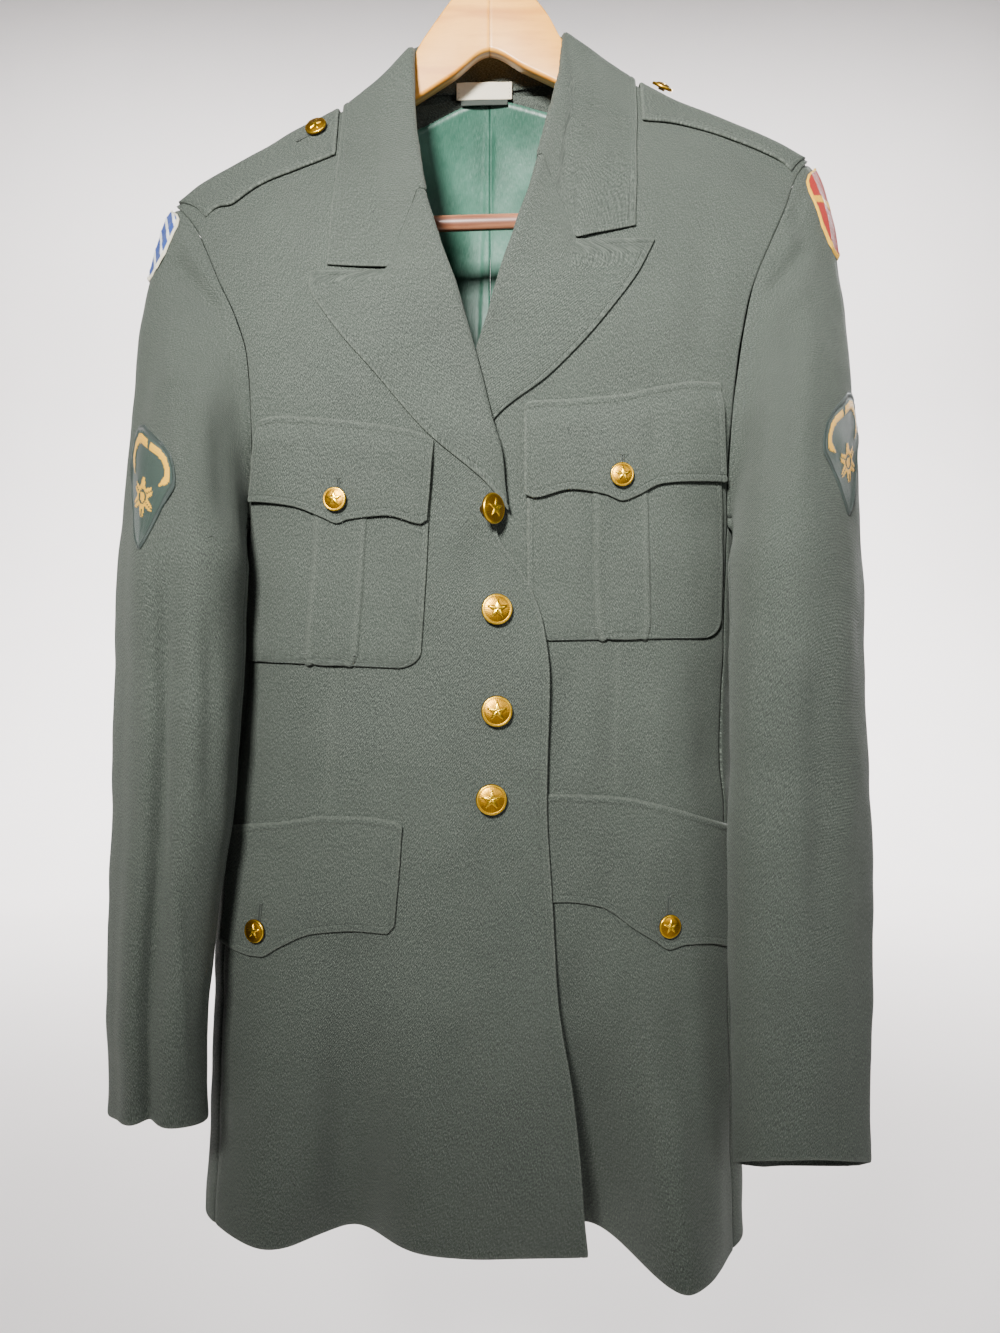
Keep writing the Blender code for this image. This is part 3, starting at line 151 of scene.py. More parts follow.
# Radii of the turned edge, and the room left beside it and beside the neck seam
ROLL_LEFT = 2.3
ROLL_RIGHT = 1.3
ROLL_ROOM = 1.5
NECK_ROOM = 1.0

# Collar, from the left gorge round the back to the right gorge. Columns: place, neck seam x and
# height, fold x, y and height, middle x and height, edge x and height
COLLAR = (
    (0.00, -45.3, -247.5, -42.3, -64.2, -248, -66.5, -302, -107, -296.5),
    (0.12, -54, -213, -47.5, -54, -213, -75, -252, -106, -254),
    (0.24, -63.5, -184, -51, -36, -176, -79, -200, -104, -212),
    (0.31, -71, -160, -53.5, -18, -145, -80, -166, -103.3, -182),
    (0.342, -73, -149, -54.6, -9, -122.5, -80, -152.5, -103, -168.5),
    (0.36, -75, -142, -55, 0, -118.8, -80, -145.5, -103, -161.5),
    (0.375, -73, -143, -54, 8.5, -115, -78, -147, -99, -166),
    (0.41, -66, -146, -49, 17, -107, -68, -150, -86, -180),
    (0.46, -38, -140, -29, 27, -101, -40, -136, -52, -172),
    (0.50, 0, -136, 0, 31, -99, 0, -130, 0, -164),
    (0.54, 38, -134, 29, 27, -98, 40, -131, 54, -164),
    (0.59, 66, -132, 48, 17, -101, 68, -138, 87, -168),
    (0.625, 73, -128, 52.5, 8.5, -105, 78, -132, 99, -149),
    (0.64, 75, -127, 53.3, 0, -107.6, 80, -130, 103, -143),
    (0.658, 73, -134, 52.8, -9, -111.5, 80, -137, 103, -150),
    (0.70, 68, -142, 50.5, -16, -130, 79, -150, 103, -168),
    (0.77, 59, -163, 46, -36, -162, 76, -182, 101, -205),
    (0.88, 46, -190, 39, -50, -194, 66, -230, 99, -240),
    (1.00, 35.3, -222.5, 32.3, -59, -223, 57.5, -283, 97, -271))

# Epaulettes. Columns: share from the armhole to the collar, drop of the front and the back edge
EPAULETTE_LEFT = (
    (0.0, 33, 9), (0.08, 31, 9), (0.2, 37, 9), (0.42, 33, 8), (0.67, 38, 8), (1.0, 44, 8))
EPAULETTE_RIGHT = (
    (0.0, 21, 28), (0.08, 17, 28), (0.2, 17, 27), (0.45, 20, 26), (0.7, 24, 24), (1.0, 38, 20))
# Pocket flaps. Columns: place, top x and height, bottom x and height
CHEST_FLAP_LEFT = (
    (0.00, -152, -402, -158, -452), (0.12, -140, -400, -147, -454), (0.32, -114, -402, -125, -459),
    (0.47, -98, -404, -107, -467), (0.54, -90, -405, -98, -471), (0.61, -83, -406, -90, -468.5),
    (0.78, -62, -409, -66, -466.5), (0.95, -42, -414, -44, -472), (1.00, -36, -418, -40, -470))
CHEST_FLAP_RIGHT = (
    (0.00, 24, -393, 24, -452), (0.05, 30, -391, 30, -454), (0.22, 52, -390, 54, -448.5),
    (0.38, 72, -388, 76, -451.5), (0.47, 84, -387, 87, -455.5), (0.56, 96, -385, 97, -452),
    (0.70, 114, -381, 113, -444), (0.90, 139, -378, 142, -441), (1.00, 152, -378, 156, -440))
LOWER_FLAP_LEFT = (
    (0.00, -176, -674, -183, -752), (0.16, -160, -671, -170, -755), (0.28, -144, -669, -157, -757),
    (0.34, -136, -668, -150, -757), (0.42, -126, -666, -138, -750), (0.56, -106, -663, -116, -740),
    (0.72, -86, -663, -87, -737), (0.94, -60, -666, -66, -738), (1.00, -56, -669, -61, -733))
LOWER_FLAP_RIGHT = (
    (0.00, 34, -649, 34, -719), (0.10, 46, -649, 50, -718.5), (0.26, 70, -650, 73, -722),
    (0.42, 92, -652, 97, -738), (0.52, 106, -655, 110, -746), (0.58, 114, -657, 119, -751.5),
    (0.66, 124, -660, 130, -749), (0.80, 142, -666, 146, -750), (1.00, 161, -673, 164, -756))

# Patch pockets. Columns: place down, left x, right x, height at the left, height at the right
PATCH_LEFT = ((0.0, -158, -38, -424, -438), (0.45, -162, -41, -496, -506), (1.0, -167, -45, -562, -566))
PATCH_RIGHT = ((0.0, 26, 152, -416, -406), (0.45, 26, 156, -480, -474), (1.0, 27, 156, -548, -546))
PATCH_CORNER = 14.0
PLEATS_LEFT = (0.385, 0.665)
PLEATS_RIGHT = (0.335, 0.605)

# Sleeve sections. Columns: height, centre x, centre y, half length, half width, turn, squareness
SLEEVE_LEFT = (
    (-870, -221.5, -68, 54, 31, 25, 2.1),
    (-800, -221.5, -67, 57, 32, 25, 2.1),
    (-735, -219, -64, 60, 34, 26, 2.1),
    (-620, -212, -58, 70, 40, 26, 2.1),
    (-500, -209.5, -50, 75, 42, 24, 2.1))
SLEEVE_RIGHT = (
    (-905, 210, -68, 50, 33, 66, 2.2),
    (-800, 210, -66, 54, 36, 58, 2.2),
    (-665, 210.5, -60, 64, 40, 42, 2.1),
    (-600, 210.2, -56, 71, 41, 32, 2.1),
    (-500, 210.2, -50, 76, 42, 25, 2.1))
# Cuff line. Columns: side, height at the middle y, middle y, fall per unit of y
CUFFS = {LEFT: (-861, -85, 0.2), RIGHT: (-894, -73, 0.45)}

# Sleeves: the armhole, the sleeve head, then the ring below it
ARMHOLE_GAP = 0.2
UNDER_SHARE = 0.18
UNDER_DIP = 12.0
RING_TOP = -500.0
HEAD_OUT = 70.0
HEAD_SPREAD = 14.0
HEAD_FALL = 24.0
HEAD_LENGTH = 120.0
SLOPE_STEP = 20.0
BODY_ROOM = 2.4
POCKET_ROOM = 5.5
SLEEVE_SEAMS = (0.10, 0.80)
# Long troughs of the sleeves. Columns: side, place round the sleeve, half width, depth, top height,
# height where it is full
TROUGHS = (
    (LEFT, 0.325, 0.038, 17, -400, -600),
    (LEFT, 0.47, 0.05, 3, -280, -400),
    (LEFT, 0.72, 0.05, 5, -450, -640),
    (RIGHT, 0.70, 0.05, 6, -430, -620),
    (RIGHT, 0.05, 0.05, 5, -560, -700))

# Gap at a seam, and at the seam between lapel and collar
JOIN = 0.1
GORGE_GAP = 0.45
DART_DEPTH = 0.9
DART_HALF = 2.6
PLEAT_EDGE = 1.1
HANGER_ROUND = 3.0
# Where each shank ends above the body's outer face
SHANK_REST = {
    "button_front_1": 0.4, "button_front_2": 0.4, "button_front_3": 0.4, "button_front_4": 0.4,
    "button_chest_left": 7.0, "button_chest_right": 7.0, "button_lower_left": 3.2,
    "button_lower_right": 3.2}
# Folds of the lining. Columns: side, distance from the middle, half width, height, slant
LINING_FOLDS = (
    (LEFT, 26, 7, 2.2, 0.10), (LEFT, 49, 9, 2.8, 0.16), (LEFT, 78, 10, 2.4, 0.12), (LEFT, 12, 4, 1.2, 0.05),
    (RIGHT, 18, 5, 1.6, 0.02), (RIGHT, 38, 9, 3.0, 0.12), (RIGHT, 64, 8, 2.4, 0.18),
    (RIGHT, 92, 10, 2.2, 0.1))
PLEAT_DRIFT = 0.04
# Button relief: how deep the star's notches and how long its points are
STAR_NOTCH = 0.42
STAR_REACH = 0.70
# Width of a badge's overcast border
MERROW = 2.6
# Floor and backdrop, in metres: height of the floor, distance, top and half width of the wall, and the
# radius of the sweep between them
FLOOR = -1.3
WALL = 5.0
WALL_TOP = 5.5
WALL_HALF = 8.0
CURVE = 2.2

# Distance between the ribs of the twill, in metres, and the colours of the wool and the rest
TWILL = 0.0013
WOOL_DARK = (0.0275, 0.037, 0.028)
WOOL_LIGHT = (0.045, 0.058, 0.045)
WOOL_GREY = (0.043, 0.051, 0.042)
WOOL_DEEP = (0.006, 0.009, 0.007)
WOOL_FIBRE = (0.155, 0.178, 0.146)
WOOL_WORN = (0.12, 0.135, 0.11)
SATIN_DARK = (0.015, 0.068, 0.042)
SATIN_LIGHT = (0.044, 0.135, 0.092)
SATIN_FLOAT = (0.12, 0.26, 0.19)
GOLD_HOLLOW = (0.36, 0.17, 0.008)
GOLD_LIGHT = (1.0, 0.60, 0.035)
GOLD_AGED = (0.72, 0.40, 0.03)

# Buttonholes. Columns: name, side, x, height, direction (x, height), length, height off the body
BUTTONHOLES = (
    ("buttonhole_chest_left", LEFT, -96.6, -449, (0.03, 1), 13, 7.0),
    ("buttonhole_chest_right", RIGHT, 86.8, -433, (0.02, 1), 13, 7.0),
    ("buttonhole_lower_left", LEFT, -150, -729, (0.12, 1), 13, 3.4),
    ("buttonhole_lower_right", RIGHT, 117.6, -724, (0.03, 1), 13, 3.4),
    ("buttonhole_shoulder_left", LEFT, -130, -192.5, (1, 0.5), 12, 3.5))
# Steps along and across from the snag's middle to its three tufts
SNAG_TUFTS = ((0.0, 0.0), (-1.9, -0.5), (1.7, -0.6))
# Two pin holes in the cloth, drawn as dark dashes of painted shade. Columns: name, side, x, height, height
# off the body, length
MARKS = (
    ("pin_hole_1", RIGHT, 52.2, -410.4, 7.0, 1.3), ("pin_hole_2", RIGHT, 73.4, -410.6, 7.0, 1.2))

WAIST_SHARE = 0.55
LAPEL_SWELL = 0.9
COLLAR_SWELL = 1.3
COLLAR_BACK_LIFT = 1.6
RIDGE_PLACES = (0.36, 0.64)
EPAULETTE_INNER = 107.5
EPAULETTE_THICK = 2.2
EPAULETTE_LIFT = 1.9
OVER_CHEST = 5.6
OVER_SKIRT = 2.0

# Buttons. Columns: name, side, x, height, radius, height off the body, turn to the side in degrees
BUTTONS = (
    ("button_front_1", LEFT, 2.5, -463, 10.2, 8.5, 48),
    ("button_front_2", LEFT, 5.5, -528, 10.2, 3.0, 8),
    ("button_front_3", LEFT, 5.5, -594, 10.2, 3.0, 4),
    ("button_front_4", LEFT, 2.0, -651, 10.2, 3.0, 4),
    ("button_chest_left", LEFT, -98, -456, 7.9, 9.0, 0),
    ("button_chest_right", RIGHT, 86, -439.5, 7.9, 9.0, 0),
    ("button_lower_left", LEFT, -152, -740, 7.9, 4.8, 0),
    ("button_lower_right", RIGHT, 118, -736, 7.9, 4.8, 0))
# Columns: name, x, drop below the ridge
SHOULDER_BUTTONS = (("button_shoulder_left", -121, 15), ("button_shoulder_right", 122, 2))
SHOULDER_RADIUS = 7.9
SHOULDER_REST = EPAULETTE_LIFT + EPAULETTE_THICK / 2 + 2.1

# Badge outlines. Columns: height above the middle, reach to the front and to the back
SHIELD = ((38, 15, 15), (35, 21, 21), (25, 25, 25), (8, 26, 26), (-10, 24, 24), (-25, 17, 17),
          (-33, 10, 10), (-38, 3, 3))
RANK = ((38, 14, 14), (34, 25, 25), (26, 31, 31), (15, 33, 33), (-8, 22, 22), (-24, 14, 14),
        (-36, 7, 7), (-42, 2, 2))

LINING_HALF = 118.0
LINING_SEAM = 0.2
LINING_TAPER = 20.0
LINING_NECK = 130.0
LINING_BELOW = 4.0
LINING_ROOM = 1.9
LINING_LOW = -430.0

# Outlines of the wooden hanger, above inside the neck and below. Columns: x, height
HANGER_TOP = (
    (-54, -124), (-50, -116), (-42, -104), (-32, -90), (-22, -77), (-12, -67), (0, -62),
    (12, -65), (23, -72.5), (33, -83), (43, -96), (50, -109), (54, -115))
HANGER_LOW = (
    (-192, -264), (-176, -264), (-174.7, -262), (-174.3, -240), (-150, -222), (-104, -190), (-53, -156.5),
    (-26, -139), (0, -121.5), (25, -133.5), (50, -145.5), (104, -175), (150, -204), (174.3, -228),
    (174.7, -250), (176, -252), (192, -252))
HANGER_HALF = 6.5
UNDER_RIDGE = 4.9
BAR_RADIUS = 5.8
BAR_END = 174.0
BAR_HEIGHT = -243.0
BAR_SLOPE = 0.03
HOOK_RADIUS = 1.8
HOOK_BEND = 19.0

# Topstitching: how far from the edge, length of a stitch, step between stitches, thread radius
INSET = 3.9
STITCH = 2.1
STITCH_STEP = 2.9
THREAD = 0.26
# Places across a stitched edge, measured from it
NEAR = (0, 0.35, 0.9, 1.8, 2.7, 3.2, 3.5, 3.75, 4.05, 4.3, 4.6, 5.3, 6.4, 8.4)

# The photograph's camera: its place in millimetres, and pixels per unit of slope
EYE = (7.6, -870.0, -565.0)
PIXELS = 1200.0
MIDDLE = (500.0, 666.5)

# Creases as the photograph shows them. Columns: where, half width, depth (less than 0 is a ridge),
# then its places, all but the depth in the photograph's pixels
CREASES = (
    ("body_left", 17, 4.0, ((482, 520), (474, 556), (478, 600))),
    ("body_left", 9, 1.6, ((504, 720), (522, 742), (541, 750))),
    ("body_left", 8, 1.3, ((500, 770), (520, 786), (543, 800))),
    ("body_left", 10, -1.2, ((508, 742), (524, 762), (543, 775))),
    ("body_left", 20, -3.4, ((428, 770), (458, 850), (500, 960), (548, 1080))),
    ("body_left", 20, 3.0, ((470, 800), (505, 885), (549, 985))),
    ("body_left", 17, 2.4, ((398, 840), (420, 930), (462, 1060), (500, 1190))),
    ("body_left", 13, -1.8, ((322, 960), (318, 1080), (312, 1235))),
    ("body_left", 11, 1.5, ((288, 960), (284, 1090), (280, 1240))),
    ("body_left", 15, 1.7, ((440, 1000), (447, 1100), (452, 1240))),
    ("body_left", 13, -1.4, ((470, 1040), (486, 1130), (496, 1240))),
    ("body_left", 12, 1.6, ((300, 690), (292, 760), (286, 815))),
    ("body_left", 14, -1.5, ((395, 680), (398, 745), (402, 810))),
    ("body_left", 16, 1.6, ((286, 240), (288, 320), (283, 398))),
    ("body_left", 14, -1.4, ((262, 300), (262, 350), (258, 402))),
    ("flap_left", 7, 0.9, ((371, 432), (368, 462), (362, 490))),
    ("flap_left", 6, -0.7, ((388, 430), (392, 455), (398, 478))),
    ("flap_left", 8, 0.8, ((290, 438), (287, 465), (284, 490))),
    ("skirt_flap_left", 9, 0.9, ((352, 832), (352, 870), (348, 918))),
    ("skirt_flap_left", 8, -0.8, ((375, 830), (384, 862), (378, 900))),
    ("skirt_flap_left", 6, 0.7, ((240, 852), (262, 851), (300, 858))),
    ("body_right", 15, 2.6, ((566, 650), (567, 720), (566, 790))),
    ("body_right", 13, -1.6, ((592, 650), (593, 715), (590, 790))),
    ("body_right", 17, 3.0, ((700, 650), (705, 720), (712, 800))),
    ("body_right", 15, -1.8, ((660, 670), (662, 730), (660, 790))),
    ("body_right", 18, 3.2, ((577, 930), (580, 1050), (598, 1210))),
    ("body_right", 14, -2.4, ((646, 980), (653, 1090), (664, 1230))),
    ("body_right", 12, 1.8, ((676, 960), (690, 1100), (700, 1250))),
    ("body_right", 10, -1.0, ((610, 940), (618, 1060), (630, 1200))),
    ("body_right", 14, 1.5, ((700, 190), (706, 270), (700, 360))),
    ("body_right", 12, 1.2, ((752, 250), (742, 320), (735, 380))),
    ("flap_right", 6, 1.2, ((656, 408), (652, 430), (658, 462))),
    ("flap_right", 5, -0.9, ((668, 412), (672, 438), (664, 466))),
    ("flap_right", 7, 0.7, ((700, 400), (704, 430), (700, 462))),
    ("flap_right", 7, 0.6, ((590, 410), (588, 440), (592, 470))),
    ("skirt_flap_right", 8, 0.8, ((610, 830), (612, 868), (610, 900))),
    ("skirt_flap_right", 8, -0.8, ((640, 836), (646, 876), (650, 918))),
    ("skirt_flap_right", 9, 0.9, ((690, 846), (692, 890), (694, 930))),
    ("pocket_left", 9, 0.8, ((402, 540), (404, 590), (400, 640))),
    ("pocket_right", 9, 0.9, ((608, 520), (604, 570), (612, 620))),
    ("pocket_right", 8, 0.7, ((700, 500), (702, 560), (698, 610))),
    ("sleeve_left", 12, 7.0, ((160, 262), (180, 270), (203, 292), (236, 318))),
    ("sleeve_left", 11, -3.0, ((172, 228), (192, 246), (214, 278))),
    ("sleeve_left", 7, -2.2, ((166, 300), (170, 376), (183, 469), (202, 560))),
    ("sleeve_left", 10, 2.0, ((214, 400), (221, 470), (226, 540))),
    ("sleeve_left", 6, -2.0, ((177, 540), (175, 640), (174, 800), (176, 900), (181, 1000), (187, 1120))),
    ("sleeve_left", 10, 2.5, ((208, 590), (211, 700), (208, 830))),
    ("sleeve_left", 12, 1.6, ((140, 600), (134, 760), (134, 930))),
    ("sleeve_left", 9, -1.4, ((222, 640), (224, 760), (218, 900))),
    ("sleeve_right", 9, 5.0, ((792, 182), (797, 216), (804, 246))),
    ("sleeve_right", 9, 4.0, ((762, 294), (782, 276), (800, 256), (816, 236))),
    ("sleeve_right", 9, -2.4, ((782, 252), (800, 226), (806, 196))),
    ("sleeve_right", 11, -1.6, ((768, 318), (792, 300), (812, 278))),
    ("sleeve_right", 15, 3.2, ((792, 292), (784, 390), (768, 500))),
    ("sleeve_right", 14, -2.0, ((812, 300), (806, 400), (800, 500))),
    ("sleeve_right", 16, 1.8, ((770, 560), (768, 700), (772, 850))),
    ("sleeve_right", 13, -1.8, ((843, 520), (846, 700), (848, 900), (846, 1080))),
    ("sleeve_right", 12, 2.2, ((818, 640), (820, 800), (822, 980))),
    ("sleeve_right", 12, 1.6, ((790, 930), (792, 1040), (798, 1140))))
# Creases of the hidden sides, in millimetres. Columns: where, half width, depth, then (x, height) places
BACK_CREASES = (
    ("back", 26, 3.0, ((-120, -250), (-108, -380), (-96, -520))),
    ("back", 24, -2.4, ((-70, -300), (-64, -430), (-60, -560))),
    ("back", 28, 3.2, ((118, -230), (106, -360), (100, -540))),
    ("back", 22, -2.2, ((74, -320), (66, -440), (70, -570))),
    ("back", 18, 2.0, ((-40, -620), (-46, -760), (-52, -930))),
    ("back", 20, -2.6, ((-104, -640), (-110, -790), (-116, -940))),
    ("back", 22, 2.6, ((112, -600), (120, -760), (124, -930))),
    ("back", 18, -1.8, ((36, -640), (40, -800), (46, -930))),
    ("back", 12, 1.6, ((-140, -470), (-90, -492), (-40, -500))),
    ("back", 12, 1.4, ((60, -500), (100, -488), (146, -462))),
    ("back", 16, -1.5, ((-30, -170), (-22, -240), (-20, -320))))
# Dart seams of the fronts, in the photograph's pixels
DARTS = {LEFT: ((335, 666), (330, 780), (330, 814)), RIGHT: ((616, 642), (613, 720), (613, 790))}


def ease(low, high, value):
    """Smooth step from 0 at low to 1 at high; low may be the greater one."""
    u = np.clip((np.asarray(value, float) - low) / (high - low), 0, 1)
    return u * u * (3 - 2 * u)


def read(rows, key, column):
    """One column of a table at each key, on a smooth curve through the rows."""
    keys = np.array([row[0] for row in rows], float)
    values = np.array([row[column] for row in rows], float)
    slopes = np.diff(values) / np.diff(keys)
    product = slopes[:-1] * slopes[1:]
    total = slopes[:-1] + slopes[1:]
    inner = np.where(product > 0, 2 * product / np.where(total == 0, 1, total), 0)
    tangents = np.concatenate([slopes[:1], inner, slopes[-1:]])
    key = np.clip(np.asarray(key, float), keys[0], keys[-1])
    i = np.clip(np.searchsorted(keys, key, side="right") - 1, 0, len(rows) - 2)
    span = keys[i + 1] - keys[i]
    u = (key - keys[i]) / span
    return (values[i] * (2 * u ** 3 - 3 * u ** 2 + 1) + tangents[i] * span * (u ** 3 - 2 * u ** 2 + u)
            + values[i + 1] * (3 * u ** 2 - 2 * u ** 3) + tangents[i + 1] * span * (u ** 3 - u ** 2))


def ridge(x):
    return read(SHOULDER, x, 1)


def stack(x, y, z):
    x, y, z = np.broadcast_arrays(x, y, z)
    return np.stack([x, y, z], axis=-1).astype(float)


def unit(vectors):
    size = np.linalg.norm(vectors, axis=-1, keepdims=True)
    return vectors / np.maximum(size, 1e-9)


def hem_push(x, z, face, side):
    """Sum of the large folds, positive towards the hanger's plane."""
    push = np.zeros(np.broadcast(x, z).shape)
    for which, half_coat, centre, half, amount, end in FOLDS:
        if which == face and half_coat in (0, side):
            swell = np.clip((end - z) / (end - HEM_HEIGHT), 0, None) ** 1.5
            push = push + amount * swell * np.exp(-((x - centre) / half) ** 2)
    return push


def reach(x, z, face, side=0):
    """Distance of the cloth's outer face from the hanger's plane, along Y."""
    centre, half, front, back, square = (read(TORSO, z, c) for c in range(1, 6))
    full = front if face == FRONT else back
    u = np.minimum(1.0, np.abs(x - centre) / half)
    body = full * (1 - u ** square) ** (1 / square)
    drop = np.maximum(0.0, ridge(x) - z)
    rise = np.minimum(1.0, drop / RIDGE_FALL)
    cap = RIDGE_HALF * np.sqrt(np.maximum(0.0, 1 - (1 - rise) ** 2))
    lean = 1 - (1 - np.minimum(1.0, drop / DRAPE)) ** DRAPE_POWER
    full_lean = cap + np.maximum(0.0, body - RIDGE_HALF) * lean
    out = np.minimum(np.maximum(body, cap * ease(200, 60, drop)), full_lean)
    edge = np.where(z < UNDERARM + 60, 1 - ease(0.86, 0.97, u), 1.0)
    return out - hem_push(x, z, face, side) * edge


def place(x, z, face, lift=0.0, sink=0.0, side=0):
    """Points on the body's outer face at x and height z, moved out along the face's normal."""
    x, z = np.broadcast_arrays(np.asarray(x, float), np.asarray(z, float))
    z = np.minimum(z, ridge(x))
    step = 0.4
    low = np.minimum(z, ridge(x) - step)
    slope_x = (reach(x + step, low, face, side) - reach(x - step, low, face, side)) / (2 * step)
    slope_z = (reach(x, low + step, face, side) - reach(x, low - step, face, side)) / (2 * step)
    out = unit(stack(-slope_x, float(face), -slope_z))
    return stack(x, face * (reach(x, z, face, side) - sink), z) + out * np.asarray(lift)[..., None]


def under_lap(x, z):
    """How far the right front lies behind the left one."""
    return UNDERLAP * (1 - ease(70, 140, x)) * (1 - ease(-400, -310, z))


def on_front(side, x, z, lift=0.0):
    sink = under_lap(x, z) if side == RIGHT else 0.0
    return place(x, z, FRONT, lift, sink, side)


def spread(length, count, start=True, end=True):
    """Shares along a length, close together at an edge that is stitched."""
    length = np.asarray(length, float)[..., None]
    near = np.array(NEAR)
    low = near[-1] if start else 0.0
    high = length - (near[-1] if end else 0.0)
    middle = low + (high - low) * np.linspace(0, 1, count)
    parts = [middle]
    if start:
        parts.insert(0, np.broadcast_to(near[:-1], (*middle.shape[:-1], len(near) - 1)))
    if end:
        parts.append(length - near[-2::-1])
    return np.concatenate(parts, axis=-1) / length


def normals(grid):
    """Unit normals of a grid of points, by its rows and columns."""
    cross = np.cross(np.gradient(grid, axis=1), np.gradient(grid, axis=0))
    return unit(cross)


def lengths(grid, axis):
    """Distance along the rows (axis 1) or the columns (axis 0) from their first point."""
    steps = np.linalg.norm(np.diff(grid, axis=axis), axis=-1)
    pad = [(0, 0), (0, 0)]
    pad[axis] = (1, 0)
    return np.cumsum(np.pad(steps, pad), axis=axis)


def seen(points):
    """Where points show in the photograph, in its pixels."""
    depth = points[..., 1] - EYE[1]
    across = MIDDLE[0] + (points[..., 0] - EYE[0]) * PIXELS / depth
    down = MIDDLE[1] - (points[..., 2] - EYE[2]) * PIXELS / depth
    return across, down


def off_line(across, down, places):
    """Distance from a line of places, and the share of the way along it."""
    places = np.array(places, float)
    steps = np.linalg.norm(np.diff(places, axis=0), axis=1)
    starts = np.concatenate([[0], np.cumsum(steps)])
    best = np.full(across.shape, 1e9)
    share = np.zeros(across.shape)
    for n, size in enumerate(steps):
        step = (places[n + 1] - places[n]) / size
        rx, ry = across - places[n][0], down - places[n][1]
        along = np.clip(rx * step[0] + ry * step[1], 0, size)
        away = np.hypot(rx - along * step[0], ry - along * step[1])
        share = np.where(away < best, (starts[n] + along) / starts[-1], share)
        best = np.minimum(away, best)
    return best, share


# Slow unevenness of hanging cloth. Columns: waves per metre across and up, phase, height in mm
WOBBLE = ((9, 4, 0.3, 0.5), (-6, 11, 1.9, 0.45), (17, -5, 4.1, 0.3), (3, 19, 2.7, 0.25), (-21, 9, 5.3, 0.2),
          (27, 16, 0.9, 0.14), (-13, -31, 3.6, 0.12))


def wobble(points):
    height = np.zeros(points.shape[:-1])
    flat = points[..., 0] + 0.6 * points[..., 1]
    for across, up, phase, size in WOBBLE:
        turn = 2 * math.pi * MM * (across * flat + up * points[..., 2]) + phase
        height = height + size * np.sin(turn)
    return height


def crease(grid, out, groups, rows=CREASES, facing=FRONT, fade=1.0):
    """Move a grid's points along their normals by the creases of the named groups."""
    if facing == FRONT:
        across, down = seen(grid)
    else:
        across, down = grid[..., 0], grid[..., 2]
    shown = ease(-0.05, 0.35, out[..., 1] * facing)
    move = wobble(grid) * 0.8
    for where, half, deep, places in rows:
        if where in groups:
            away, share = off_line(across, down, places)
            taper = ease(-0.05, 0.3, share) * ease(1.05, 0.7, share)
            move = move - shown * fade * deep * taper * np.exp(-(away / half) ** 2)
    return grid + out * move[..., None]


def edge_lift(grid, sides, deep=0.42, puff=0.16):
    """Height of a stitched edge: it puffs up beside the edge and dips under the stitches."""
    lift = np.zeros(grid.shape[:2])
    along, up = lengths(grid, 1), lengths(grid, 0)
    distances = {"start": along, "end": along[:, -1:] - along, "low": up, "high": up[-1:] - up}
    wear = np.zeros(grid.shape[:2])
    for side in sides:
        d = distances[side]
        dip = -deep * np.exp(-((d - INSET) / 0.5) ** 2)
        swell = puff * ease(0, 1.2, d) * ease(INSET, INSET - 1.6, d)
        lift = np.where(np.abs(dip + swell) > np.abs(lift), dip + swell, lift)
        wear = np.maximum(wear, ease(1.4, 0.0, d))
    return lift, wear


def seam_dip(grid, sides, deep=0.55, wide=2.6):
    """Cloth turns in where two pieces are sewn together."""
    along, up = lengths(grid, 1), lengths(grid, 0)
    distances = {"start": along, "end": along[:, -1:] - along, "low": up, "high": up[-1:] - up}
    lift = np.zeros(grid.shape[:2])
    for side in sides:
        lift = np.minimum(lift, -deep * ease(wide, 0, distances[side]))
    return lift


def smooth_rows(grid, passes, axis=1):
    """Even out each row, with its ends kept."""
    for _ in range(passes):
        if axis == 1:
            grid[:, 1:-1] += 0.25 * (grid[:, 2:] + grid[:, :-2] - 2 * grid[:, 1:-1])
        else:
            grid[1:-1] += 0.25 * (grid[2:] + grid[:-2] - 2 * grid[1:-1])
    return grid


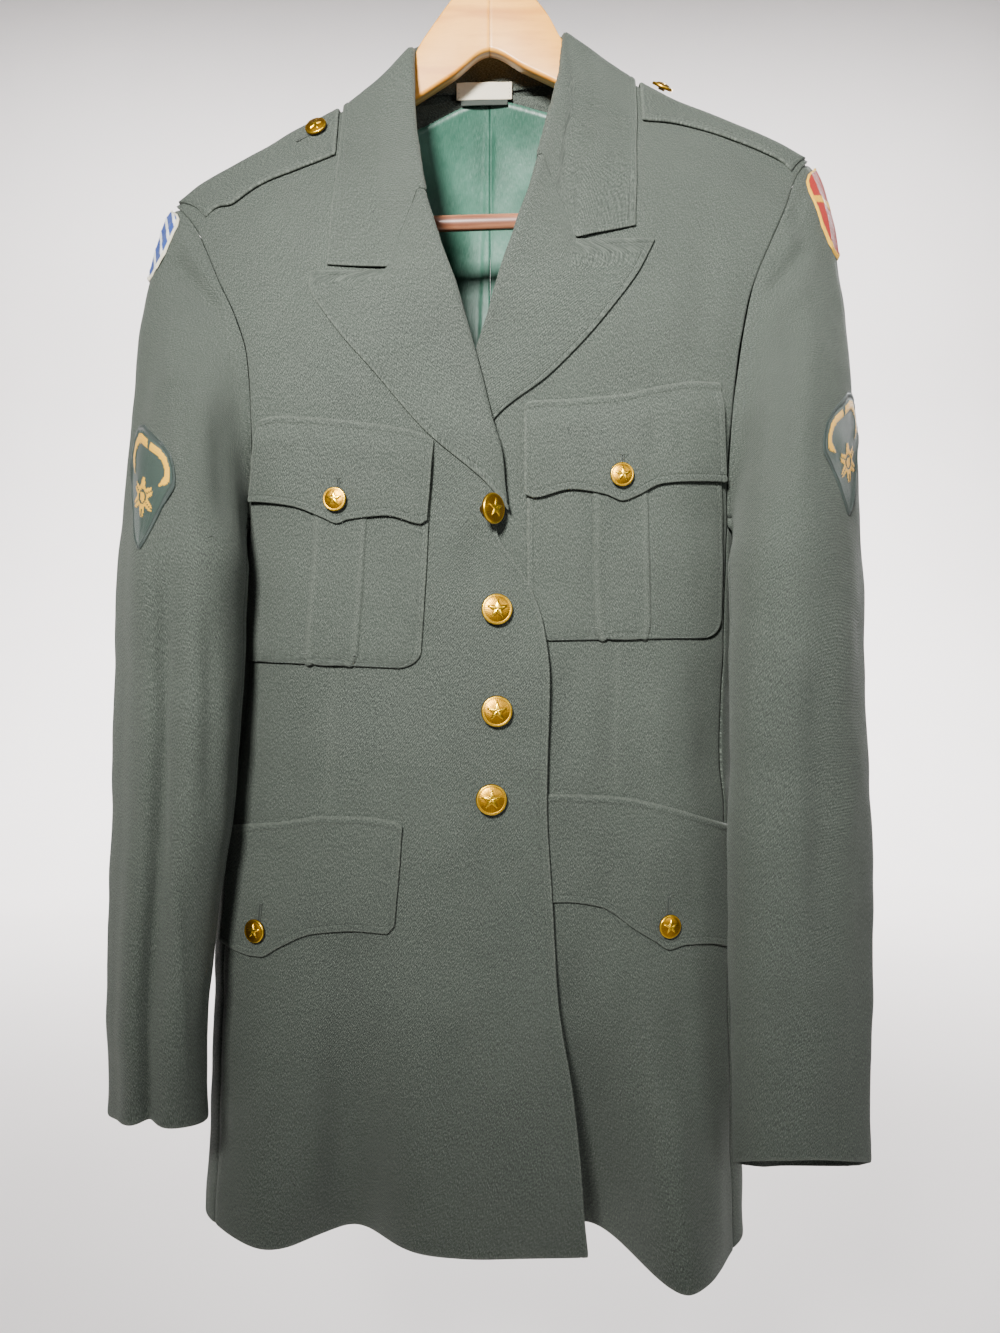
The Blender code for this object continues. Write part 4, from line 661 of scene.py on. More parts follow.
class Piece:
    """Points, faces and surface data of one piece, gathered before the mesh is made."""

    def __init__(self):
        self.points, self.uv, self.wear, self.faces, self.zones = [], [], [], [], []
        self.count = 0

    def add(self, points, uv=None, wear=None):
        """Add points in millimetres and return their numbers in the same shape."""
        shape = points.shape[:-1]
        size = int(np.prod(shape))
        numbers = np.arange(self.count, self.count + size).reshape(shape)
        self.points.append(points.reshape(-1, 3))
        self.uv.append(np.zeros((size, 2)) if uv is None else uv.reshape(-1, 2))
        self.wear.append(np.zeros(size) if wear is None else np.asarray(wear, float).reshape(-1))
        self.count += size
        return numbers

    def face(self, a, b, c, d, flip=False, zone=None):
        corners = (a, d, c, b) if flip else (a, b, c, d)
        quads = np.stack([corner.reshape(-1) for corner in corners], axis=-1)
        self.faces.append(quads)
        self.zones.append(np.zeros(len(quads), int) if zone is None else zone.reshape(-1))

    def sheet(self, numbers, flip=False, zone=None):
        """Faces of a grid of points."""
        self.face(numbers[:-1, :-1], numbers[:-1, 1:], numbers[1:, 1:], numbers[1:, :-1], flip, zone)

    def ring(self, low, high, flip=False):
        """Faces between two closed rings of points."""
        self.face(low, np.roll(low, -1), np.roll(high, -1), high, flip)

    def fan(self, ring, middle, flip=False):
        """Close a ring towards its middle point, which is given once for each corner."""
        self.face(ring, np.roll(ring, -1), np.roll(middle, -1), middle, flip)

    def make(self, name, looks, slot, node=None):
        points = np.concatenate(self.points) * MM
        quads = np.concatenate(self.faces)
        mesh = bpy.data.meshes.new(name)
        mesh.from_pydata(points.tolist(), [], quads.tolist())
        mesh.polygons.foreach_set("material_index", np.concatenate(self.zones))
        mesh.polygons.foreach_set("use_smooth", np.ones(len(quads), bool))
        layer = mesh.uv_layers.new(name="cloth")
        layer.data.foreach_set("uv", (np.concatenate(self.uv) * MM)[quads.ravel()].ravel())
        worn = mesh.attributes.new("wear", "FLOAT", "POINT")
        worn.data.foreach_set("value", np.concatenate(self.wear))
        mesh.update()
        item = bpy.data.objects.new(name + "_fine" if node else name, mesh)
        bpy.context.collection.objects.link(item)
        for look in looks:
            mesh.materials.append(LOOKS[look])
        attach(item, "root")
        if node:
            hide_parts(node)
        return item


def rim_order(rows, columns):
    order = [(0, j) for j in range(columns)] + [(i, columns - 1) for i in range(1, rows)]
    order += [(rows - 1, j) for j in range(columns - 2, -1, -1)] + [(i, 0) for i in range(rows - 2, 0, -1)]
    return np.array(order).T


def outward(grid, i, j, free):
    """Direction away from the sheet at its rim, nothing where the edge is sewn to its neighbour."""
    rows, columns = grid.shape[:2]
    away = np.zeros((len(i), 3))
    for side, here, k, m in (("low", i == 0, np.minimum(i + 1, rows - 1), j),
                             ("high", i == rows - 1, np.maximum(i - 1, 0), j),
                             ("start", j == 0, i, np.minimum(j + 1, columns - 1)),
                             ("end", j == columns - 1, i, np.maximum(j - 1, 0))):
        if side in free:
            away += unit(grid[i, j] - grid[k, m]) * here[:, None]
    return unit(away) * (np.linalg.norm(away, axis=-1, keepdims=True) > 0.1)


def shell(grid, out, thick, free=(), wear=None, zone=None):
    """Closed cloth on a grid of outer points, with rounded free edges."""
    piece = Piece()
    uv = np.stack([lengths(grid, 1), lengths(grid, 0)], axis=-1)
    wear = np.zeros(grid.shape[:2]) if wear is None else wear
    inner_grid = grid - out * thick
    flip = np.sum(np.cross(np.gradient(grid, axis=1), np.gradient(grid, axis=0)) * out) < 0
    outer = piece.add(grid, uv, wear)
    inner = piece.add(inner_grid, uv, wear * 0)
    piece.sheet(outer, flip, zone)
    piece.sheet(inner, not flip, zone)
    i, j = rim_order(*grid.shape[:2])
    away = outward(grid, i, j, free)
    last_outer, last_zone = outer[i, j], None
    if zone is not None:
        last_zone = zone[np.minimum(i, zone.shape[0] - 1), np.minimum(j, zone.shape[1] - 1)]
    for depth, bulge in ((0.2, 0.32), (0.5, 0.46), (0.8, 0.32)):
        ring = grid[i, j] - out[i, j] * thick * depth + away * thick * bulge
        numbers = piece.add(ring, uv[i, j], wear[i, j])
        piece.face(last_outer, np.roll(last_outer, -1), np.roll(numbers, -1), numbers, not flip, last_zone)
        last_outer = numbers
    final = inner[i, j]
    piece.face(last_outer, np.roll(last_outer, -1), np.roll(final, -1), final, not flip, last_zone)
    return piece


def edge_run(grid, side, inset):
    """Points at an inset from one edge of a grid."""
    turned = grid if side in ("start", "end") else grid.swapaxes(0, 1)
    if side in ("end", "high"):
        turned = turned[:, ::-1]
    along = lengths(turned, 1)
    found = np.empty((len(turned), 3))
    for n in range(len(turned)):
        for k in range(3):
            found[n, k] = np.interp(inset, along[n], turned[n, :, k])
    return found


def stitches(piece, grid, out, side, start=0.0, end=0.0, inset=INSET, sink=0.12):
    """A row of thread stitches along one edge. start and end are left free, in millimetres."""
    line = edge_run(grid, side, inset)
    facing = edge_run(grid + out, side, inset) - line
    away = np.concatenate([[0], np.cumsum(np.linalg.norm(np.diff(line, axis=0), axis=1))])
    count = int((away[-1] - start - end) / STITCH_STEP)
    if count < 1:
        return
    at = start + STITCH_STEP * (np.arange(count) + 0.5)
    spots = np.stack([np.interp(at, away, line[:, k]) for k in range(3)], axis=-1)
    ahead = np.stack([np.interp(at + 0.3, away, line[:, k]) for k in range(3)], axis=-1)
    facing = unit(np.stack([np.interp(at, away, facing[:, k]) for k in range(3)], axis=-1))
    dashes(piece, spots - facing * sink, unit(ahead - spots), facing)


# A thread's form. Columns: place along its half length, share of its radius, how deep it is sunk in radii
THREAD_FORM = ((-1, 0.15, 1.3), (-0.78, 0.75, 0.5), (0, 1, 0), (0.78, 0.75, 0.5), (1, 0.15, 1.3))


def dashes(piece, spots, along, facing, length=STITCH, radius=THREAD):
    """Short threads with rounded, sunk ends."""
    over = np.cross(along, facing)
    rings = []
    for place_on, size, sunk in THREAD_FORM:
        centre = spots + along * place_on * length / 2 - facing * sunk * radius
        ring = []
        for turn in np.linspace(0, 2 * math.pi, 6, endpoint=False):
            ring.append(centre + (over * math.cos(turn) + facing * math.sin(turn)) * size * radius)
        rings.append(np.stack(ring, axis=1))
    numbers = piece.add(np.stack(rings, axis=1))
    for n in range(4):
        low, high = numbers[:, n], numbers[:, n + 1]
        piece.face(low, np.roll(low, -1, axis=1), np.roll(high, -1, axis=1), high, True)
    for ring, flip in ((numbers[:, 0], True), (numbers[:, -1], False)):
        piece.face(ring[:, 0], ring[:, 1], ring[:, 2], ring[:, 3], not flip)
        piece.face(ring[:, 0], ring[:, 3], ring[:, 4], ring[:, 5], not flip)


def coons(bottom, top, start, end, s, t):
    """x and height filled in between four edge curves."""
    low, high, near, far = bottom(s), top(s), start(t), end(t)
    corners = [curve(np.float64(k)) for curve in (bottom, top) for k in (0, 1)]
    found = []
    for k in (0, 1):
        ruled = (1 - t) * low[k] + t * high[k] + (1 - s) * near[k] + s * far[k]
        corner = ((1 - s) * (1 - t) * corners[0][k] + s * (1 - t) * corners[1][k]
                  + (1 - s) * t * corners[2][k] + s * t * corners[3][k])
        found.append(ruled - corner)
    return found


def split_height(t, low, middle, high):
    """Height at a share of the way up, with the underarm always at the same share."""
    below = low + (middle - low) * t / WAIST_SHARE
    above = middle + (high - middle) * (t - WAIST_SHARE) / (1 - WAIST_SHARE)
    return np.where(t < WAIST_SHARE, below, above)


def seam_x(side, z):
    return read(TORSO, z, 1) + side * SEAM_AT * read(TORSO, z, 2)


def outer_edge(side, armhole, hem):
    def edge(t):
        z = split_height(t, hem, UNDERARM, armhole[-1][0])
        x = np.where(z < UNDERARM, seam_x(side, z), read(armhole, z, 1))
        return x - side * JOIN / 2, z
    return edge


def panel_edge(side):
    """Inner edge of a front: above the break it stops short of the roll."""
    table = INNER_LEFT if side == LEFT else INNER_RIGHT
    gorge = (LAPEL_LEFT if side == LEFT else LAPEL_RIGHT)[-1][2]
    rows = []
    for z, x in table:
        back_off = (ROLL_LEFT + ROLL_ROOM) * float(ease(-478, -462, z))
        back_off += (NECK_ROOM - back_off) * float(ease(gorge, gorge + 25, z))
        rows.append((z, x + side * back_off))
    return rows


FRONT_ROWS = 122
FRONT_COLUMNS = 98
BREAK = -464.0


def front_grid(side, armhole):
    inner = panel_edge(side)
    hem_in = read(HEM, inner[0][1], 1)
    outer = outer_edge(side, armhole, read(HEM, seam_x(side, HEM_HEIGHT), 1))

    def edge(t):
        z = split_height(t, hem_in, BREAK, inner[-1][0])
        return read(inner, z, 1), z

    def bottom(s):
        x = outer(0.0)[0] + (edge(0.0)[0] - outer(0.0)[0]) * s
        return x, read(HEM, x, 1)

    def top(s):
        x = outer(1.0)[0] + (edge(1.0)[0] - outer(1.0)[0]) * s
        return x, ridge(x)
    t = spread(700.0, FRONT_ROWS, True, False)
    t = t[:, None]
    s = spread(np.abs(edge(t[:, 0])[0] - outer(t[:, 0])[0]), FRONT_COLUMNS, False, True)
    x, z = coons(bottom, top, outer, edge, s, t)
    return on_front(side, x, z)


def front(name, side):
    armhole = ARMHOLE_LEFT if side == LEFT else ARMHOLE_RIGHT
    where = "body_left" if side == LEFT else "body_right"
    grid = front_grid(side, armhole)
    grid[..., 1] = np.minimum(grid[..., 1], -JOIN)
    out = facing(grid, FRONT)
    grid = crease(grid, out, (where,))
    dart = off_line(*seen(grid), DARTS[side])[0]
    grid = grid - out * (DART_DEPTH * np.exp(-(dart / DART_HALF) ** 2))[..., None]
    lift, wear = edge_lift(grid, ("end",))
    below = ease(BREAK - 6, BREAK - 20, grid[..., 2])
    lift = lift * below + seam_dip(grid, ("start", "high"))
    up = lengths(grid, 0)
    wear = np.maximum(wear * below, ease(2.6, 0, up))
    wear = np.maximum(wear, 0.35 * np.exp(-((dart - 2.6) / 1.5) ** 2))
    grid = grid + out * lift[..., None]
    piece = shell(grid, out, CLOTH, ("end", "low"), wear)
    piece.make(name, ("wool",), "wool", name)
    threads = Piece()
    low_rows = grid[..., 2].max(axis=1) < BREAK - 8
    stitches(threads, grid[low_rows], out[low_rows], "end", 4, 1)
    threads.make("stitches_" + name, ("thread",), "wool")


def facing(grid, face):
    """Normals of a grid, turned to the front or the back."""
    found = normals(grid)
    return found * np.where(np.mean(found[..., 1]) * face > 0, 1.0, -1.0)


def back(name, side):
    armhole = BACK_ARMHOLE_LEFT if side == LEFT else BACK_ARMHOLE_RIGHT
    centre = 0.5 * JOIN * side
    outer = outer_edge(side, armhole, read(BACK_HEM, seam_x(side, HEM_HEIGHT), 1))

    def middle(t):
        return centre + 0 * t, split_height(t, read(BACK_HEM, centre, 1), UNDERARM, ridge(0) - BACK_NECK_DROP)

    def bottom(s):
        x = outer(0.0)[0] + (centre - outer(0.0)[0]) * s
        return x, read(BACK_HEM, x, 1)

    def top(s):
        x = outer(1.0)[0] + (centre - outer(1.0)[0]) * s
        share = np.maximum(0.0, 1 - (x / NECK_HALF) ** 2)
        return x, ridge(x) - BACK_NECK_DROP * share ** 0.7
    t = spread(700.0, 108, True, False)[:, None]
    s = np.broadcast_to(np.concatenate([[0, 0.008, 0.016], np.linspace(0.03, 0.97, 50), [0.984, 0.992, 1]]),
                        (len(t), 56))
    x, z = coons(bottom, top, outer, middle, s, t)
    grid = place(x, z, BACK)
    grid[..., 1] = np.maximum(grid[..., 1], JOIN)
    out = facing(grid, BACK)
    grid = crease(grid, out, ("back",), BACK_CREASES, BACK)
    grid = grid + out * seam_dip(grid, ("start", "end"))[..., None]
    piece = shell(grid, out, CLOTH, ("low",), ease(2.6, 0, lengths(grid, 0)))
    piece.make(name, ("wool",), "wool", name)


def side_panel(name, side):
    t = spread(480.0, 96, True, False)[:, None]
    k = np.concatenate([[-1, -0.97, -0.94], np.linspace(-0.88, 0.88, 30), [0.94, 0.97, 1]])[None, :]
    top = UNDERARM - UNDER_DIP * (1 - k * k)
    x_low = seam_x(side, HEM_HEIGHT)
    hem = read(HEM, x_low, 1) + (read(BACK_HEM, x_low, 1) - read(HEM, x_low, 1)) * ease(-0.6, 0.6, k)
    z = hem * (1 - t) + top * t
    grid = section_point(side, np.broadcast_to(k, z.shape), z)
    out = normals(grid)
    out = out * np.where(np.mean(out[..., 0]) * side > 0, 1.0, -1.0)
    grid = grid + out * (wobble(grid) * 0.8 + seam_dip(grid, ("start", "end", "high")))[..., None]
    piece = shell(grid, out, CLOTH, ("low",), ease(2.6, 0, lengths(grid, 0)))
    piece.make(name, ("wool",), "wool", name)


def section_point(side, k, z, off=0.0):
    """Point on the side of the body at height z. k is -1 at the front seam and 1 at the back seam."""
    centre, half, front_depth, back_depth, square = (read(TORSO, z, c) for c in range(1, 6))
    angle = k * np.arccos(SEAM_AT ** (square / 2)) * (1 - JOIN / 14)
    depth = np.where(k < 0, front_depth, back_depth)
    x = centre + side * (half * np.maximum(np.cos(angle), 0.0) ** (2 / square) + off)
    return stack(x, np.sign(k) * depth * np.abs(np.sin(angle)) ** (2 / square), z)


def arm_loop(side, q):
    """Armhole: q 0 is under the arm, 0.25 on the front, 0.5 at the shoulder tip, 0.75 on the back."""
    q = q % 1.0
    ahead = q <= 0.5
    share = np.where(ahead, 2 * q, 2 * (1 - q))
    fronts, backs = ((ARMHOLE_LEFT, BACK_ARMHOLE_LEFT) if side == LEFT
                     else (ARMHOLE_RIGHT, BACK_ARMHOLE_RIGHT))
    points = []
    for rows in (fronts, backs):
        z = UNDERARM + (rows[-1][0] - UNDERARM) * (share - UNDER_SHARE) / (1 - UNDER_SHARE)
        x = read(rows, z, 1) + side * ARMHOLE_GAP
        point = on_front(side, x, z) if rows is fronts else place(x, z, BACK)
        point[..., 1] *= np.minimum(1.0, (1 - share) / 0.03)
        points.append(point)
    upper = np.where(ahead[..., None], points[0], points[1])
    k = share / UNDER_SHARE
    lower = section_point(side, np.where(ahead, -k, k), UNDERARM - UNDER_DIP * (1 - k * k), SEAM_GAP + 1.2)
    return np.where((share > UNDER_SHARE)[..., None], upper, lower)


def clear_of_body(side, points, room):
    """Press sleeve points out along X until they clear the side of the body."""
    z = np.minimum(points[..., 2], UNDERARM)
    centre, half, front_depth, back_depth, square = (read(TORSO, z, c) for c in range(1, 6))
    depth = np.where(points[..., 1] < 0, front_depth, back_depth)
    u = np.minimum(1.0, np.abs(points[..., 1]) / depth)
    edge = half * (1 - u ** square) ** (1 / square)
    press = (u < 1) & (side * (points[..., 0] - centre) < edge + room)
    points[..., 0] = np.where(press, centre + side * (edge + room), points[..., 0])
    return points


def sleeve_ring(side, q, z):
    rows = SLEEVE_LEFT if side == LEFT else SLEEVE_RIGHT
    cx, cy, long_half, short_half, turn, square = (read(rows, z, c) for c in range(1, 7))
    around = math.pi / 2 - 2 * math.pi * q
    cos, sin = np.cos(around), np.sin(around)
    along = long_half * np.sign(cos) * np.abs(cos) ** (2 / square)
    over = short_half * np.sign(sin) * np.abs(sin) ** (2 / square)
    tau = np.radians(turn)
    x = cx - side * (along * np.sin(tau) + over * np.cos(tau))
    y = cy - along * np.cos(tau) + over * np.sin(tau)
    return stack(x, y, z), stack(cx, cy, z)


def sleeve_point(side, q, w):
    """Outer face of a sleeve: w 0 at the armhole, 1 just under the arm, 2 at the cuff."""
    q, w = (a.astype(float) for a in np.broadcast_arrays(q, w))
    height, middle_y, fall = CUFFS[side]
    cuff = height - (sleeve_ring(side, q, height + 0 * q)[0][..., 1] - middle_y) * fall
    straight, middle = sleeve_ring(side, q, RING_TOP + (cuff - RING_TOP) * (w - 1))
    start = arm_loop(side, q)
    end, head_middle = sleeve_ring(side, q, RING_TOP + 0 * q)
    low = sleeve_ring(side, q, RING_TOP - SLOPE_STEP + 0 * q)[0]
    size = np.linalg.norm(end - start, axis=-1, keepdims=True)
    leave = stack(side * HEAD_OUT, -HEAD_SPREAD * np.sin(2 * math.pi * q), -HEAD_FALL) * np.minimum(
        1.0, size / HEAD_LENGTH)
    arrive = (low - end) / SLOPE_STEP * size
    v = np.minimum(w, 1.0)[..., None]
    head = (start * (2 * v ** 3 - 3 * v ** 2 + 1) + leave * (v ** 3 - 2 * v ** 2 + v)
            + end * (3 * v ** 2 - 2 * v ** 3) + arrive * (v ** 3 - v ** 2))
    head_middle[..., 2] = head[..., 2]
    below = (w > 1)[..., None]
    point, middle = np.where(below, straight, head), np.where(below, middle, head_middle)
    for which, centre, half, deep, top, full in TROUGHS:
        if which == side:
            away = (q - centre + 0.5) % 1.0 - 0.5
            amount = deep * ease(top, full, point[..., 2]) * np.exp(-(away / half) ** 2)
            point = point + unit(middle - point) * amount[..., None]
    room = BODY_ROOM + POCKET_ROOM * ease(-8, -30, point[..., 1])
    room = room * np.minimum(1.0, 0.5 + 5 * w) + SEAM_GAP
    cleared = clear_of_body(side, point.copy(), room)
    return np.where((w > 0.02)[..., None], cleared, point)


def sleeve_out(side, q, w):
    step = 0.012
    over = sleeve_point(side, q + step, w) - sleeve_point(side, q - step, w)
    down = sleeve_point(side, q, np.minimum(2, w + step)) - sleeve_point(side, q, np.maximum(0, w - step))
    return unit(np.cross(over, down)) * -side


def sleeve_surface(side, q, w):
    """Creased outer face of a sleeve and its normals."""
    q, w = np.broadcast_arrays(q, w)
    grid, out = sleeve_point(side, q, w), sleeve_out(side, q, w)
    group = "sleeve_left" if side == LEFT else "sleeve_right"
    return crease(grid, out, (group,), fade=ease(0.0, 0.16, w)), out


def sleeve_rows(count):
    """Places down the sleeve, closer at the armhole and the cuff."""
    return np.concatenate([np.linspace(0, 1, count // 2) ** 1.15, np.linspace(1, 1.985, count // 2)[1:],
                           [1.989, 1.993, 1.9965, 1.9985, 2.0]])[:, None]


def sleeve(name, side, low, high, columns, rows):
    gap = 0.0002
    middle = np.linspace(low + 0.014, high - 0.014, columns)
    q = np.concatenate([[low + gap, low + 0.004, low + 0.008], middle,
                        [high - 0.008, high - 0.004, high - gap]])[None, :]
    grid, out = sleeve_surface(side, q, sleeve_rows(rows))
    lift = seam_dip(grid, ("start", "end")) + seam_dip(grid, ("low",), 0.7, 3.2)
    down = lengths(grid, 0)
    rest = down[-1:] - down
    lift = lift + 0.25 * ease(0, 1.5, rest) * ease(7, 3.5, rest)
    grid = grid + out * lift[..., None]
    piece = shell(grid, out, CLOTH, ("high",), ease(2.8, 0, rest))
    piece.make(name, ("wool",), "wool", name)


def resample(rows, shares):
    """Smooth curve through each row's points, read at shares of its length."""
    found = np.empty((*shares.shape, 3))
    steps = np.linalg.norm(np.diff(rows, axis=1), axis=-1)
    for n in range(len(rows)):
        key = np.concatenate([[0], np.cumsum(steps[n])])
        table = np.column_stack([key, rows[n]])
        for k in range(3):
            found[n, :, k] = read(table, shares[n] * key[-1], k + 1)
    return found


def even_places(make_rows, count):
    """Places along a strip whose distances near both ends are real ones."""
    coarse = np.linspace(0, 1, 240)
    edge = make_rows(coarse)[:, -2]
    away = np.concatenate([[0], np.cumsum(np.linalg.norm(np.diff(edge, axis=0), axis=1))])
    return np.interp(spread(away[-1], count) * away[-1], away, coarse)


def roll_of(side, t):
    if side == LEFT:
        return ROLL_LEFT * (0.45 + 0.55 * ease(0, 0.3, t))
    return ROLL_RIGHT + (ROLL_LEFT - ROLL_RIGHT) * ease(0.5, 0.8, t)


def lapel_rows(side, t):
    """From the roll line, where the cloth turns over, out to the edge that lies on the front."""
    rows = LAPEL_LEFT if side == LEFT else LAPEL_RIGHT
    roll_x, roll_z, mid_x, mid_z, edge_x, edge_z = (read(rows, t, c) for c in range(1, 7))
    lower = GORGE_GAP * ease(0.8, 1, t)
    r = roll_of(side, t)
    axis_x = roll_x + side * r
    centre = on_front(side, axis_x, roll_z - lower, r - CLOTH / 2)
    out = on_front(side, axis_x, roll_z - lower, r - CLOTH / 2 + 1) - centre
    points = []
    for turn in np.radians(np.linspace(0, 180, 11)):
        point = centre - out * (r * np.cos(turn))[:, None]
        point[:, 0] -= side * r * np.sin(turn)
        points.append(point)
    top = 2 * r - CLOTH / 2
    for share in (0.17, 0.34, 0.5, 0.66, 0.83, 1.0):
        x = axis_x + (mid_x - axis_x) * share
        z = roll_z + (mid_z - roll_z) * share - lower
        lift = top + (LIE + LAPEL_SWELL - top) * (0.45 * share + 0.55 * ease(0, 1, share))
        points.append(on_front(side, x, z, np.maximum(LIE, lift)))
    for share in (0.25, 0.5, 0.75, 1.0):
        x = mid_x + (edge_x - mid_x) * share
        z = mid_z + (edge_z - mid_z) * share - lower
        points.append(on_front(side, x, z, LIE + LAPEL_SWELL * (1 - share)))
    return np.stack(points, axis=1)


def lapel(name, side):
    t = even_places(lambda t: lapel_rows(side, t), 90)
    rows = lapel_rows(side, t)
    size = np.linalg.norm(np.diff(rows, axis=1), axis=-1).sum(axis=1)
    grid = resample(rows, spread(size, 44, False, True))
    out = facing_up(grid)
    where = ("body_left", "lapel_left") if side == LEFT else ("body_right", "lapel_right")
    grid = crease(grid, out, where)
    lift, wear = edge_lift(grid, ("end",))
    top = ease(0.55, 0.62, np.linspace(0, 1, grid.shape[1]))[None, :]
    top_lift, top_wear = edge_lift(grid, ("high",))
    lift = np.where(np.abs(top_lift * top) > np.abs(lift), top_lift * top, lift)
    grid = grid + out * (lift + CLOTH / 2)[..., None]
    piece = shell(grid, out, CLOTH, ("end", "high"), np.maximum(wear, top_wear * top))
    piece.make(name, ("wool",), "wool", name)
    threads = Piece()
    stitches(threads, grid, out, "end", 6, INSET)
    half = grid.shape[1] * 6 // 10
    stitches(threads, grid[:, half:], out[:, half:], "high", 1, INSET)
    threads.make("stitches_" + name, ("thread",), "wool")


def facing_up(grid):
    """Normals of a turned-over piece, pointing up from where it lies at its edge."""
    found = normals(grid)
    return found * np.where(np.mean(found[:, -12:, 1]) < 0, 1.0, -1.0)


def collar_rows(v):
    """Stand, fold and fall in one, round the neck."""
    seam_x_, seam_z, fold_x, fold_y, fold_z, mid_x, mid_z, edge_x, edge_z = (
        read(COLLAR, v, c) for c in range(1, 10))
    ahead = ((v <= RIDGE_PLACES[0]) | (v >= RIDGE_PLACES[1]))[:, None]
    flat = ease(0.27, 0.12, v) + ease(0.73, 0.88, v)
    f = flat[:, None]
    lift = LIE + COLLAR_BACK_LIFT * ease(0.37, 0.42, v) * ease(0.63, 0.58, v)
    r = ROLL_LEFT
    top = 2 * r - CLOTH / 2

    def lay(x, z, off):
        off = off + 0 * v
        return np.where(ahead, place(x, z, FRONT, off), place(x, z, BACK, off))
    seam = lay(seam_x_, seam_z, 0.1 * (1 - flat) - CLOTH / 2 * flat)
    level = lay(seam_x_, seam_z, r - CLOTH / 2)
    lying = lay(fold_x, fold_z, r - CLOTH / 2)
    standing = stack(fold_x, fold_y, fold_z)
    fold = standing * (1 - f) + lying * f
    up = unit(unit(standing - seam) * (1 - f) + unit(lying - level) * f)
    middle = lay(mid_x, mid_z, lift + COLLAR_SWELL)
    ahead_v, behind_v = np.minimum(1.0, v + 0.01), np.maximum(0.0, v - 0.01)
    along = stack(*(read(COLLAR, ahead_v, c) - read(COLLAR, behind_v, c) for c in (3, 4, 5)))
    out = unit(np.cross(up, along))
    out = np.where(np.sum(out * (middle - fold), axis=-1, keepdims=True) < 0, -out, out)
    normal = unit(lying - lay(fold_x, fold_z, r - CLOTH / 2 - 1))
    out = out * (1 - f) + normal * f
    out = unit(out - up * np.sum(out * up, axis=-1, keepdims=True))
    axis = fold - up * r
    base = seam + up * 0.3
    points = [base, base + (axis - out * r - base) * 0.5]
    for turn in np.radians(np.linspace(0, 180, 9)):
        points.append(axis - out * r * np.cos(turn) + up * r * np.sin(turn))
    fall_top = axis + out * r
    for share in (0.25, 0.5, 0.75):
        straight = fall_top + (middle - fall_top) * share
        x = axis[:, 0] + (mid_x - axis[:, 0]) * share
        z = axis[:, 2] + (mid_z - axis[:, 2]) * share
        low = lay(x, z, top + (lift + COLLAR_SWELL - top) * share)
        points.append(straight + (low - straight) * f)
    points.append(middle)
    for share in (0.35, 0.7, 1.0):
        x = mid_x + (edge_x - mid_x) * share
        z = mid_z + (edge_z - mid_z) * share
        points.append(lay(x, z, lift + COLLAR_SWELL * (1 - share)))
    return np.stack(points, axis=1)


def collar(name):
    v = even_places(collar_rows, 150)
    rows = smooth_rows(collar_rows(v), 2, 0)
    size = np.linalg.norm(np.diff(rows, axis=1), axis=-1).sum(axis=1)
    grid = resample(rows, spread(size, 44, False, True))
    out = normals(grid)
    out = out * np.where(np.mean(out[20:50, -8, 1]) < 0, 1.0, -1.0)
    grid = crease(grid, out, ("collar",))
    lift, wear = edge_lift(grid, ("end",))
    ends = ease(0.35, 0.5, np.linspace(0, 1, grid.shape[1]))[None, :]
    end_lift, end_wear = edge_lift(grid, ("low", "high"))
    lift = np.where(np.abs(end_lift * ends) > np.abs(lift), end_lift * ends, lift)
    grid = grid + out * (lift + CLOTH / 2)[..., None]
    piece = shell(grid, out, CLOTH, ("end", "low", "high"), np.maximum(wear, end_wear * ends))
    piece.make(name, ("wool",), "wool", name)
    threads = Piece()
    stitches(threads, grid, out, "end", INSET, INSET)
    part = grid.shape[1] * 45 // 100
    for side in ("low", "high"):
        stitches(threads, grid[:, part:], out[:, part:], side, 2, INSET)
    threads.make("stitches_" + name, ("thread",), "wool")


def epaulette(name, side):
    """Strap over the shoulder, from the armhole seam to the collar."""
    rows = EPAULETTE_LEFT if side == LEFT else EPAULETTE_RIGHT
    fronts, backs = ((ARMHOLE_LEFT, BACK_ARMHOLE_LEFT) if side == LEFT
                     else (ARMHOLE_RIGHT, BACK_ARMHOLE_RIGHT))
    t = spread(75.0, 44, False, True)[:, None]
    front_drop, back_drop = read(rows, t, 1), read(rows, t, 2)
    away = spread((front_drop + back_drop)[:, 0], 40) * (front_drop + back_drop)
    ahead = away < front_drop
    drop = np.abs(front_drop - away)
    edge = np.where(ahead, read(fronts, fronts[-1][0] - drop, 1), read(backs, backs[-1][0] - drop, 1))
    edge = edge - side * 1.5
    x = edge + (side * EPAULETTE_INNER - edge) * t
    lift = 0.4 + (EPAULETTE_LIFT - 0.4) * ease(0.0, 0.16, t) + 0 * x
    grid = np.where(ahead[..., None], place(x, ridge(x) - drop, FRONT, lift),
                    place(x, ridge(x) - drop, BACK, lift))
    grid = smooth_rows(grid, 12)
    out = normals(grid)
    out = out * np.where(np.mean(out[..., 2]) > 0, 1.0, -1.0)
    grid = crease(grid, out, ("body_left" if side == LEFT else "body_right",))
    lift, wear = edge_lift(grid, ("start", "end", "high"))
    grid = grid + out * (lift + EPAULETTE_THICK / 2)[..., None]
    piece = shell(grid, out, EPAULETTE_THICK, ("start", "end", "high"), wear)
    piece.make(name, ("wool",), "wool", name)
    threads = Piece()
    for run in ("start", "end"):
        stitches(threads, grid, out, run, 2, INSET)
    threads.make("stitches_" + name, ("thread",), "wool")


